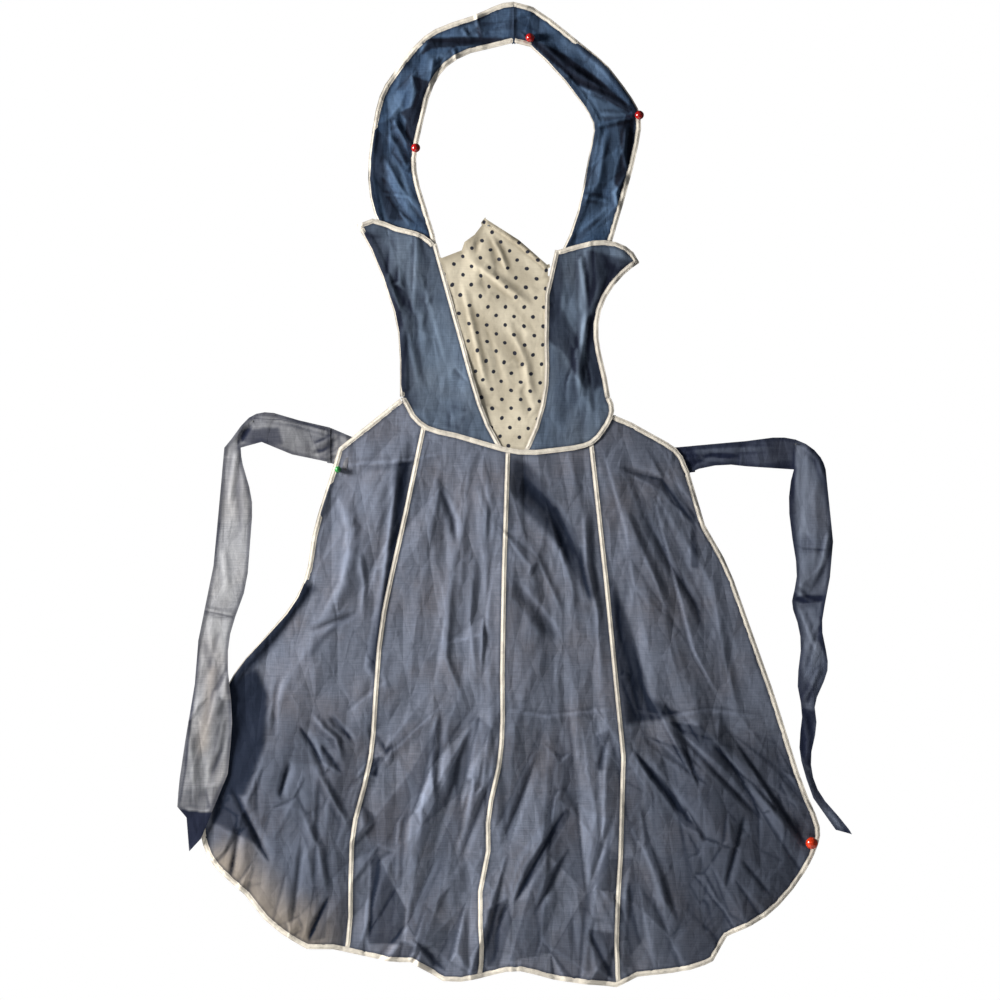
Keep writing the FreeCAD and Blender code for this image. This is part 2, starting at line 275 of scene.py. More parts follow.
    def crumple(self, count, stretch, height, seed, where=1.0, fan=None, tint=0.0):
        """Flat facets with sharp creases between them, longer than wide by `stretch`: upright,
        or spread like a fan about a centre, down from it or up round it. Some get painted shade."""
        rng = np.random.default_rng(seed)
        wide, tall = np.ptp(self.x), np.ptp(self.z)
        sites = rng.uniform(0, 1, (count, 2)) * (wide * 1.2, tall * 1.2)
        sites += (self.x0 - 0.1 * wide, self.z0 - 0.1 * tall)
        flat = sites / (1, stretch)
        if fan:
            x, z, way, reach = fan[0] * MM, fan[1] * MM, fan[2], fan[3] * MM
            angle = np.arctan2(sites[:, 0] - x, (sites[:, 1] - z) * way)
            flat = np.column_stack([angle * reach, np.hypot(*(sites - (x, z)).T) / stretch])
        level = rng.uniform(-1, 1, count)
        found = geometry.delaunay_2d_cdt([Vector(p) for p in flat], [], [], 0, 1e-7)
        facets, shades = np.zeros_like(self.height), np.zeros_like(self.height)
        for corners in found[2]:
            a, b, c = [found[3][k][0] for k in corners]
            p = sites[[a, b, c]]
            shaded = rng.random() < 0.3
            first = np.floor((p.min(0) - (self.x0, self.z0)) / self.step).astype(int)
            last = np.ceil((p.max(0) - (self.x0, self.z0)) / self.step).astype(int) + 1
            (j0, i0), (j1, i1) = np.maximum(first, 0), np.maximum(last, 0)
            patch = (slice(i0, i1), slice(j0, j1))
            x, z = self.x[patch], self.z[patch]
            area = np.cross(p[1] - p[0], p[2] - p[0])
            if x.size == 0 or abs(area) < 1e-12:
                continue
            v = ((x - p[0, 0]) * (p[2, 1] - p[0, 1]) - (z - p[0, 1]) * (p[2, 0] - p[0, 0])) / area
            w = ((p[1, 0] - p[0, 0]) * (z - p[0, 1]) - (p[1, 1] - p[0, 1]) * (x - p[0, 0])) / area
            inside = (v >= -1e-6) & (w >= -1e-6) & (v + w <= 1 + 1e-6)
            value = level[a] + v * (level[b] - level[a]) + w * (level[c] - level[a])
            facets[patch] = np.where(inside, value, facets[patch])
            shades[patch] = np.where(inside, float(shaded), shades[patch])
        self.height += facets * height * MM * where
        self.painted_shade = np.maximum(self.painted_shade, shades * tint * where)

    def pinned(self, x, z, reach):
        """The cloth is held back to the wall round a pin."""
        gap = np.hypot(self.x - x, self.z - z) / (reach * MM)
        self.height *= 1 - np.exp(-gap * gap)

    def soften(self):
        self.height = blurred(self.height)

    def finished(self, lowest, crest=0.5, valley=0.8):
        """Keeps the cloth in front of the wall, and paints crests lighter and valleys darker as
        painted light and shade.
        """
        room = self.height / MM - lowest
        self.height = (lowest + 0.5 * (room + np.sqrt(room * room + 0.5))) * MM
        bend = np.zeros_like(self.height)
        for axis in (0, 1):
            for reach in (2, 3):
                h = self.height
                bend += (np.roll(h, reach, axis) + np.roll(h, -reach, axis) - 2 * h) / reach
        bend /= 0.6 * MM
        self.painted_shade = np.clip(self.painted_shade + valley * np.clip(bend, 0, 0.7), 0, 1)
        self.light = np.clip(self.light + crest * np.clip(-bend, 0, 0.8), 0, 1)
        return self

    def at(self, layer, xz):
        grid = getattr(self, layer)
        u = np.clip((xz[:, 0] - self.x0) / self.step, 0, grid.shape[1] - 1.001)
        v = np.clip((xz[:, 1] - self.z0) / self.step, 0, grid.shape[0] - 1.001)
        j, i = u.astype(int), v.astype(int)
        fu, fv = u - j, v - i
        low = grid[i, j] * (1 - fu) + grid[i, j + 1] * fu
        high = grid[i + 1, j] * (1 - fu) + grid[i + 1, j + 1] * fu
        return low * (1 - fv) + high * fv


# --- cutting cloth to the CAD outlines ------------------------------------------------------
def linked(edges):
    """The closed loops that directed edges make, with every pair of opposite edges taken out."""
    after = {}
    for a, b in edges:
        if (b, a) not in edges:
            after.setdefault(a, []).append(b)
    loops = []
    while after:
        here = next(iter(after))
        loop = []
        while here in after:
            loop.append(here)
            following = after[here].pop()
            if not after[here]:
                del after[here]
            here = following
        loops.append(loop)
    return loops


def enclosed(ring):
    x, z = np.array(ring).T
    return abs(np.dot(x, np.roll(z, -1)) - np.dot(z, np.roll(x, -1))) / 2


def front_rings(name):
    """The outlines of a flat CAD plate seen from the front, without its pin holes, the largest
    first. Ends at a cut line are moved onto it."""
    mesh = frame["nodes"][name].data
    spots = [(round(v.co.x, 6), round(v.co.z, 6)) for v in mesh.vertices]
    edges = set()
    for face in mesh.polygons:
        if face.normal.y < -0.9:
            ring = [spots[v] for v in face.vertices]
            edges.update(zip(ring, ring[1:] + ring[:1]))
    rings = []
    for loop in linked(edges):
        ring = np.array(loop)
        if enclosed(ring) > SMALLEST_RING:
            for axis, line in CUT_LINES:
                column = ring[:, axis]
                column[np.abs(column - line) < 0.45 * MM] = line
            rings.append(ring)
    return sorted(rings, key=enclosed, reverse=True)


def outlines(nodes):
    """The rings of one cloth, from its nodes. Two that meet at a cut line become one."""
    rings = [ring for node in nodes for ring in front_rings(node)]
    on_lines, sides, edges = [], [], set()
    for ring in rings:
        places = []
        for x, z in ring:
            place = (round(float(x), 7), round(float(z), 7))
            if any(abs(place[axis] - line) < 1e-7 for axis, line in CUT_LINES):
                same = [q for q in on_lines if math.dist(place, q) < 1.6 * MM]
                place = same[0] if same else place
                on_lines.append(place)
            places.append(place)
        sides += [(a, b) for a, b in zip(places, places[1:] + places[:1]) if a != b]
    for a, b in sides:
        between = [q for q in set(on_lines) if q not in (a, b)
                   and math.dist(a, q) + math.dist(q, b) < math.dist(a, b) + 1e-7]
        chain = [a] + sorted(between, key=lambda q: math.dist(a, q)) + [b]
        edges.update(zip(chain, chain[1:]))
    return [np.array(loop) for loop in linked(edges) if enclosed(loop) > SMALLEST_RING]


def dense(ring, spacing):
    """The same ring with a point at least every `spacing`."""
    points = []
    for a, b in zip(ring, np.roll(ring, -1, 0)):
        parts = max(1, math.ceil(np.linalg.norm(b - a) / spacing))
        points += [a + (b - a) * k / parts for k in range(parts)]
    return np.array(points)


def tree_of(points):
    tree = KDTree(len(points))
    for k, (x, z) in enumerate(points):
        tree.insert((x, z, 0), k)
    tree.balance()
    return tree


def outward(ring, folds, beside):
    """The ring moved out where one of the nodes `beside` it binds its edge: a little way under
    the tape, or right over it where the edge is rolled under."""
    edge = np.vstack([dense(r, 1.5 * MM) for node in beside for r in front_rings(node)])
    tree = tree_of(edge)
    near = np.array([tree.find((x, z, 0))[2] < 1.4 * MM for x, z in ring])
    along = np.roll(ring, -1, 0) - np.roll(ring, 1, 0)
    along /= np.maximum(np.linalg.norm(along, axis=1), 1e-9)[:, None]
    distance = UNDER_TAPE + (TAPE_WIDE - TAPE_SHOWS - UNDER_TAPE) * folds.at("roll", ring)
    return ring + np.column_stack([along[:, 1], -along[:, 0]]) * (distance * near)[:, None]


def inside(points, rings):
    result = np.zeros(len(points), bool)
    for ring in rings:
        a, b = ring, np.roll(ring, -1, 0)
        odd = np.zeros(len(points), bool)
        for (ax, az), (bx, bz) in zip(a, b):
            if az == bz:
                continue
            spans = (az > points[:, 1]) != (bz > points[:, 1])
            odd ^= spans & (points[:, 0] < (bx - ax) * (points[:, 1] - az) / (bz - az) + ax)
        result |= odd
    return result


def net(rings, spacing):
    """A net of triangles over the rings: its points, its triangles and each point's distance
    from the nearest edge and place along it."""
    edges, corners = [], []
    for ring in rings:
        first = len(corners)
        corners += list(ring)
        count = len(ring)
        edges += [(first + k, first + (k + 1) % count) for k in range(count)]
    corners = np.array(corners)
    tree = tree_of(corners)
    low, high = corners.min(0), corners.max(0)
    grid = []
    for k, z in enumerate(np.arange(low[1], high[1], spacing * ROW_APART)):
        xs = np.arange(low[0] + (k % 2) * spacing / 2, high[0], spacing)
        grid.append(np.column_stack([xs, np.full(len(xs), z)]))
    grid = np.vstack(grid)
    grid = grid[inside(grid, rings)]
    clear = np.array([tree.find((x, z, 0))[2] for x, z in grid])
    points = np.vstack([corners, grid[clear > CLEAR_OF_EDGE * spacing]])
    found = geometry.delaunay_2d_cdt([Vector(p) for p in points], edges, [], 0, 1e-7)
    spots = np.array([tuple(v) for v in found[0]])
    faces = np.array([f for f in found[2] if len(f) == 3])
    faces = faces[inside(spots[faces].mean(1), rings)]
    used, faces = np.unique(faces, return_inverse=True)
    spots, faces = spots[used], faces.reshape(-1, 3)
    a, b, c = spots[faces[:, 0]], spots[faces[:, 1]], spots[faces[:, 2]]
    turned = np.cross(b - a, c - a) < 0
    faces[turned] = faces[turned][:, ::-1]
    gap, along = np.zeros(len(spots)), np.zeros(len(spots))
    run = np.concatenate([np.cumsum(np.linalg.norm(r - np.roll(r, 1, 0), axis=1))
                          for r in rings])
    count = len(corners)
    for k, (x, z) in enumerate(spots):
        _, near, _ = tree.find((x, z, 0))
        along[k] = run[near]
        p = np.array((x, z))
        best = 1e9
        for other in (near - 1, near + 1):
            q, r = corners[near], corners[other % count]
            d = r - q
            t = np.clip(np.dot(p - q, d) / max(np.dot(d, d), 1e-12), 0, 1)
            best = min(best, np.linalg.norm(p - q - t * d))
        gap[k] = best
    return spots, faces, gap, along


def paint(mesh, name, columns):
    """A colour attribute on the points of a mesh, from three arrays."""
    layer = mesh.attributes.new(name, "FLOAT_COLOR", "POINT")
    data = np.ones((len(mesh.vertices), 4), np.float32)
    for k, column in enumerate(columns):
        data[:, k] = column
    layer.data.foreach_set("color", data.ravel())


def solid(name, points, faces, material, sharp):
    """A new piece, smooth but for the edges that turn by more than `sharp` degrees."""
    mesh = bpy.data.meshes.new(name)
    mesh.from_pydata(points, [], faces)
    mesh.polygons.foreach_set("use_smooth", np.ones(len(mesh.polygons), bool))
    mesh.set_sharp_from_angle(angle=math.radians(sharp))
    mesh.materials.append(material)
    mesh.update()
    piece = bpy.data.objects.new(name, mesh)
    scene.collection.objects.link(piece)
    return piece


def cloth(name, nodes, folds, level, spacing, thick, material, beside=(), shaping=None):
    """One piece of cloth or tape: the outline of its CAD nodes, pushed forward by its folds and
    run on under the tapes beside it. shaping(points, gap, along) adds to how far forward."""
    rings = [dense(r, spacing) for r in outlines(nodes)]
    if beside:
        rings = [dense(outward(r, folds, beside), spacing) for r in rings]
    points, faces, gap, along = net(rings, spacing)
    forward = level + folds.at("height", points)
    rolled = ramp(folds.at("roll", points), 0.05, 0.4)
    if beside:
        forward += 0.9 * MM * rolled * ramp(gap, TAPE_WIDE + 3 * MM, TAPE_WIDE)
        forward -= 0.5 * MM * rolled * ramp(gap, 0.8 * MM, 0)
    else:
        forward -= 0.4 * MM * rolled
    if shaping:
        forward = forward + shaping(points, gap, along)
    count = len(points)
    front = np.column_stack([points[:, 0], -forward, points[:, 1]])
    sides = np.sort(np.concatenate([faces[:, [0, 1]], faces[:, [1, 2]], faces[:, [2, 0]]]), 1)
    directed = np.concatenate([faces[:, [0, 1]], faces[:, [1, 2]], faces[:, [2, 0]]])
    _, first, uses = np.unique(sides, axis=0, return_index=True, return_counts=True)
    rim = directed[first[uses == 1]]
    back = front + (0, thick, 0)
    quads = [(b, a, a + count, b + count) for a, b in rim]
    piece = solid(name, np.vstack([front, back]).tolist(),
                  faces.tolist() + (faces[:, ::-1] + count).tolist() + quads, material, 55)
    mesh = piece.data
    both = np.vstack([points, points])
    for label, values in (("cloth", both),
                          ("edge", np.column_stack([np.tile(along, 2), np.tile(gap, 2)]))):
        layer = mesh.uv_layers.new(name=label)
        corner = np.zeros(len(mesh.loops), np.int32)
        mesh.loops.foreach_get("vertex_index", corner)
        layer.data.foreach_set("uv", values[corner].astype(np.float32).ravel())
    paint(mesh, "wash", [np.tile(folds.at(k, points), 2) for k in ("painted_shade", "tan", "light")])
    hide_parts(*nodes)
    area = np.cross(points[faces[:, 1]] - points[faces[:, 0]],
                    points[faces[:, 2]] - points[faces[:, 0]]).sum() / 2
    return piece, float(area)


# --- materials ------------------------------------------------------------------------------
class Shader:
    """A material's node tree, with short calls to add to it."""

    def __init__(self, name):
        self.material = bpy.data.materials.new(name)
        self.material.use_nodes = True
        self.tree = self.material.node_tree
        self.tree.nodes.clear()
        self.surface = self.add("ShaderNodeBsdfPrincipled")
        out = self.add("ShaderNodeOutputMaterial")
        self.tree.links.new(self.surface.outputs["BSDF"], out.inputs["Surface"])

    def add(self, kind, inputs=(), **settings):
        node = self.tree.nodes.new(kind)
        for key, value in settings.items():
            setattr(node, key, value)
        for key, value in dict(inputs).items():
            self.put(node.inputs[key], value)
        return node

    def put(self, socket, value):
        if isinstance(value, bpy.types.NodeSocket):
            self.tree.links.new(value, socket)
        else:
            socket.default_value = value

    def uv(self, layer, scale=(1, 1, 1), turn=0.0):
        source = self.add("ShaderNodeUVMap", uv_map=layer).outputs[0]
        return self.add("ShaderNodeMapping", {0: source, "Scale": scale,
                                              "Rotation": (0, 0, turn)}).outputs[0]

    def noise(self, vector, scale, detail=2.0, rough=0.5):
        return self.add("ShaderNodeTexNoise", {"Vector": vector, "Scale": scale,
                                               "Detail": detail, "Roughness": rough}).outputs[0]

    def wave(self, vector, scale, distortion=0.0, direction="X"):
        return self.add("ShaderNodeTexWave", {"Vector": vector, "Scale": scale,
                                              "Distortion": distortion, "Detail": 1.0},
                        bands_direction=direction).outputs["Fac"]

    def spread(self, value, low, high, to_low=0.0, to_high=1.0):
        return self.add("ShaderNodeMapRange", {"Value": value, "From Min": low, "From Max": high,
                                               "To Min": to_low, "To Max": to_high}).outputs[0]

    def math(self, operation, a, b=0.0):
        return self.add("ShaderNodeMath", {0: a, 1: b}, operation=operation).outputs[0]

    def times(self, a, b):
        return self.math("MULTIPLY", a, b)

    def mix(self, factor, a, b):
        node = self.add("ShaderNodeMix", data_type="RGBA")
        self.put(node.inputs["Factor"], factor)
        self.put(node.inputs[6], a)
        self.put(node.inputs[7], b)
        return node.outputs[2]

    # the painted shading of a cloth: painted shade, painted see-through tan and painted highlights
    def wash(self):
        source = self.add("ShaderNodeAttribute", attribute_name="wash").outputs["Color"]
        return self.add("ShaderNodeSeparateColor", {0: source}).outputs

    def bump(self, height, strength, distance, before=None):
        inputs = {"Height": height, "Strength": strength, "Distance": distance}
        if before is not None:
            inputs["Normal"] = before
        return self.add("ShaderNodeBump", inputs).outputs[0]

    def finish(self, colour, rough, normal, **fixed):
        """Joins up the surface. The fixed values are the same all over it."""
        for name, value in (("Base Color", colour), ("Roughness", rough), ("Normal", normal)):
            self.put(self.surface.inputs[name], value)
        for name, value in fixed.items():
            self.surface.inputs[name.replace("_", " ")].default_value = value
        return self.material


def rgb(red, green, blue):
    """A colour as a screen shows it, from 0 to 255 a channel, made linear for the shader."""
    part = [c / 255 for c in (red, green, blue)]
    linear = [c / 12.92 if c < 0.04045 else ((c + 0.055) / 1.055) ** 2.4 for c in part]
    return (*linear, 1.0)


def threads(shader, pitch):
    """The over-and-under of a plain weave, from 0 to 1, and its slubs along and across."""
    warp = shader.wave(shader.uv("cloth"), 0.5 / pitch / math.pi, 0.6)
    weft = shader.wave(shader.uv("cloth"), 0.5 / pitch / math.pi, 0.6, "Y")
    weave = shader.times(warp, weft)
    across = shader.noise(shader.uv("cloth", (44, 700, 1)), 1.0, 3.0, 0.65)
    along = shader.noise(shader.uv("cloth", (900, 60, 1)), 1.0, 3.0, 0.6)
    return weave, across, along


def chambray(name, plain, deep, pale, brown, tan, creased=1.0):
    """End-on-end cotton: coloured warp, white weft, slubs; painted shade, highlights and
    see-through tan.
    """
    s = Shader(name)
    weave, across, along = threads(s, 0.45 * MM)
    painted_shade, painted_see_through, light = s.wash()[:3]
    patches = s.spread(s.noise(s.uv("cloth"), 17.0, 3.0), 0.42, 0.66)
    faded = s.spread(s.noise(s.uv("cloth", (1.0, 0.4, 1)), 38.0, 3.0), 0.45, 0.75)
    slubs, lint = s.spread(across, 0.35, 0.68), s.spread(along, 0.4, 0.7)
    colour = plain
    # random brown and faded patches, slubs, lint and weave, then painted highlights on crests
    for mask, share, other in ((patches, 0.55, brown), (faded, 0.35, pale), (slubs, 0.34, deep),
                               (lint, 0.2, pale), (weave, 0.22, pale), (light, 0.75, pale)):
        colour = s.mix(s.times(mask, share), colour, other)
    # painted see-through tan where the wall shows through, then painted shade
    colour = s.mix(painted_see_through, colour, tan)
    colour = s.mix(painted_shade, colour, deep)
    # painted shadow on the cloth beside each edge, where a tape lies over it
    hem = s.add("ShaderNodeSeparateXYZ", {0: s.uv("edge")}).outputs[1]
    colour = s.mix(s.spread(hem, 2.2 * MM, 5.5 * MM, 0.6, 0.0), colour, deep)
    creases = s.noise(s.uv("cloth", (1, 0.45, 1)), 130.0, 4.0, 0.55)
    normal = s.bump(creases, 0.5, 0.9 * MM)
    for scale, distance, turn, squeeze in ((24.0, 4.0, 0.15, 0.4), (62.0, 1.2, -0.3, 0.6)):
        facets = s.add("ShaderNodeTexVoronoi",
                       {"Vector": s.uv("cloth", (1, squeeze, 1), turn), "Scale": scale},
                       feature="DISTANCE_TO_EDGE")
        normal = s.bump(facets.outputs["Distance"], 1.0, distance * MM * creased, normal)
    normal = s.bump(across, 0.5, 0.12 * MM, normal)
    normal = s.bump(weave, 0.5, 0.10 * MM, normal)
    return s.finish(colour, s.spread(across, 0.3, 0.7, 0.72, 0.9), normal, Sheen_Weight=0.03,
                    Specular_IOR_Level=0.2, Sheen_Roughness=0.45)


def tape_cloth(name, plain, grey, thread):
    """Off-white bias tape, its weave on the slant, edge-stitched, with grey painted shade in
    patches.
    """
    s = Shader(name)
    slant = s.uv("cloth", turn=math.radians(45))
    weave = s.times(s.wave(slant, 0.5 / (0.4 * MM) / math.pi),
                   s.wave(slant, 0.5 / (0.4 * MM) / math.pi, 0.0, "Y"))
    painted_shade = s.wash()[0]
    ruffle_shade = s.spread(s.noise(s.uv("cloth"), 75.0, 4.0, 0.6), 0.45, 0.72)
    place = s.add("ShaderNodeSeparateXYZ", {0: s.uv("edge")}).outputs
    run, gap = place[0], place[1]
    # painted shade in grey patches where the tape ruffles, and from the folds' painted shade
    colour = s.mix(s.times(ruffle_shade, 0.55), plain, grey)
    colour = s.mix(s.times(painted_shade, 0.35), colour, grey)
    # painted shade along the tape's own edges
    colour = s.mix(s.spread(gap, 0.0, 0.55 * MM, 0.55, 0.0), colour, grey)
    colour = s.mix(s.times(weave, 0.12), colour, grey)
    step = s.math("FRACT", s.math("DIVIDE", run, STITCH_PITCH))
    dash = s.math("LESS_THAN", s.math("ABSOLUTE", s.math("SUBTRACT", step, 0.5)), 0.34)
    row = s.math("LESS_THAN", s.math("ABSOLUTE", s.math("SUBTRACT", gap, STITCH_IN)), 0.24 * MM)
    stitch = s.times(dash, row)
    channel = s.spread(s.math("ABSOLUTE", s.math("SUBTRACT", gap, STITCH_IN)), 0.0, 0.8 * MM)
    colour = s.mix(s.times(stitch, 0.8), colour, thread)
    normal = s.bump(s.noise(s.uv("cloth"), 260.0, 3.0), 0.5, 0.7 * MM)
    normal = s.bump(channel, 0.6, 0.3 * MM, normal)
    normal = s.bump(s.math("ADD", weave, s.times(stitch, 2.0)), 0.5, 0.1 * MM, normal)
    return s.finish(colour, s.spread(ruffle_shade, 0.0, 1.0, 0.75, 0.92), normal, Sheen_Weight=0.1)


def dotted_cotton(name, plain, shade, ink):
    """Cream cotton printed with small dots in rows that are offset by half."""
    s = Shader(name)
    pitch, rows, radius = 20.5 * MM, 20.4 * MM, 2.15 * MM
    weave, across, along = threads(s, 0.35 * MM)
    wander = s.add("ShaderNodeTexNoise", {"Vector": s.uv("cloth"), "Scale": 22.0,
                                          "Detail": 1.0}).outputs["Color"]
    wander = s.add("ShaderNodeVectorMath", {0: wander, 1: (0.5, 0.5, 0.5)},
                   operation="SUBTRACT").outputs[0]
    wander = s.add("ShaderNodeVectorMath", {0: wander, "Scale": 9 * MM},
                   operation="SCALE").outputs[0]
    place = s.add("ShaderNodeVectorMath", {0: s.uv("cloth", turn=math.radians(3)), 1: wander},
                  operation="ADD").outputs[0]
    x, z, _ = s.add("ShaderNodeSeparateXYZ", {0: place}).outputs
    nearest = None
    for offset in (0.0, 0.5):
        sides = []
        for value, size in ((x, pitch), (z, rows)):
            cell = s.math("FRACT", s.math("ADD", s.math("DIVIDE", value, size), offset))
            sides.append(s.times(s.math("SUBTRACT", cell, 0.5), size))
        squares = [s.times(side, side) for side in sides]
        gap = s.math("SQRT", s.math("ADD", *squares))
        nearest = gap if nearest is None else s.math("MINIMUM", nearest, gap)
    ragged = s.times(s.math("SUBTRACT", s.noise(s.uv("cloth"), 900.0), 0.5), 0.7 * MM)
    dot = s.spread(s.math("ADD", nearest, ragged), radius - 0.2 * MM, radius + 0.2 * MM, 1.0, 0.0)
    painted_shade = s.wash()[0]
    colour = s.mix(s.spread(s.noise(s.uv("cloth"), 30.0, 3.0), 0.4, 0.75, 0.0, 0.5), plain, shade)
    # painted shade from the inset's folds
    colour = s.mix(s.times(painted_shade, 0.8), colour, shade)
    colour = s.mix(s.times(s.spread(across, 0.35, 0.7), 0.15), colour, shade)
    # painted shadow beside the edges, where the pipings lie over it
    hem = s.add("ShaderNodeSeparateXYZ", {0: s.uv("edge")}).outputs[1]
    colour = s.mix(s.spread(hem, 2.5 * MM, 6 * MM, 0.5, 0.0), colour, shade)
    colour = s.mix(dot, colour, ink)
    normal = s.bump(s.noise(s.uv("cloth"), 140.0, 4.0), 0.5, 0.9 * MM)
    normal = s.bump(s.math("ADD", weave, across), 0.5, 0.12 * MM, normal)
    return s.finish(colour, s.spread(along, 0.3, 0.7, 0.75, 0.9), normal, Sheen_Weight=0.08)


def moulded(name, colour, deep):
    """Glossy moulded plastic with faint flow marks and handling scratches."""
    s = Shader(name)
    place = s.add("ShaderNodeTexCoord").outputs["Object"]
    flow = s.noise(place, 420.0, 3.0)
    scratches = s.noise(s.add("ShaderNodeMapping", {0: place, "Scale": (1, 1, 9)}).outputs[0],
                        1500.0, 2.0)
    return s.finish(s.mix(s.spread(flow, 0.35, 0.7), colour, deep),
                    s.spread(scratches, 0.4, 0.75, 0.16, 0.4),
                    s.bump(scratches, 0.15, 0.05 * MM), Coat_Weight=0.3)


def plated_steel(name):
    """Drawn, nickel-plated pin wire with fine lines along it and a few dull spots."""
    s = Shader(name)
    place = s.add("ShaderNodeTexCoord").outputs["Object"]
    drawn = s.noise(s.add("ShaderNodeMapping", {0: place, "Scale": (1, 0.03, 1)}).outputs[0],
                    6000.0, 2.0)
    spots = s.noise(place, 500.0, 3.0)
    return s.finish(s.mix(s.spread(spots, 0.5, 0.7), rgb(205, 205, 203), rgb(140, 134, 124)),
                    s.spread(spots, 0.4, 0.7, 0.2, 0.42), s.bump(drawn, 0.3, 0.03 * MM),
                    Metallic=1.0)


SKIRT_CLOTH = chambray("chambray_skirt", rgb(103, 109, 124), rgb(13, 24, 43), rgb(134, 144, 166),
                       rgb(106, 100, 102), rgb(176, 165, 152))
BIB_CLOTH = chambray("chambray_bib", rgb(86, 102, 124), rgb(14, 22, 42), rgb(132, 150, 172),
                     rgb(92, 98, 108), rgb(150, 140, 128), 0.8)
STRAP_CLOTH = chambray("chambray_strap", rgb(46, 71, 103), rgb(4, 12, 31), rgb(100, 126, 158),
                       rgb(54, 68, 90), rgb(110, 112, 118))
TIE_CLOTH_LEFT = chambray("chambray_tie_left", rgb(147, 149, 156), rgb(20, 27, 48),
                          rgb(184, 186, 190), rgb(156, 152, 150), rgb(172, 160, 148), 0.7)
TIE_CLOTH_RIGHT = chambray("chambray_tie_right", rgb(96, 105, 125), rgb(22, 30, 54),
                           rgb(140, 150, 170), rgb(102, 102, 110), rgb(150, 142, 132), 0.8)
TAPE = tape_cloth("bias_tape", rgb(231, 224, 211), rgb(160, 154, 148), rgb(208, 200, 188))
DOTTED = dotted_cotton("dotted_cotton", rgb(222, 213, 192), rgb(150, 140, 120), rgb(20, 24, 42))
RED = moulded("red_plastic", rgb(176, 18, 14), rgb(120, 8, 8))
ORANGE = moulded("orange_plastic", rgb(214, 62, 18), rgb(168, 34, 10))
GREEN = moulded("green_plastic", rgb(50, 138, 66), rgb(24, 92, 44))
STEEL = plated_steel("pin_steel")


# --- the folds in each cloth ----------------------------------------------------------------
BALL_PINS = ("top_pin", "left_pin", "right_pin", "waist_pin", "hem_pin")
NEEDLES = [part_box(pin + "_needle") for pin in BALL_PINS]
PIN_PLACES = {pin: ((low.x + high.x) / 2, (low.z + high.z) / 2)
              for pin, (low, high) in zip(BALL_PINS, NEEDLES)}

GORES = ["skirt_gore_side_left", "skirt_gore_centre_left", "skirt_gore_centre_right",
         "skirt_gore_side_right"]


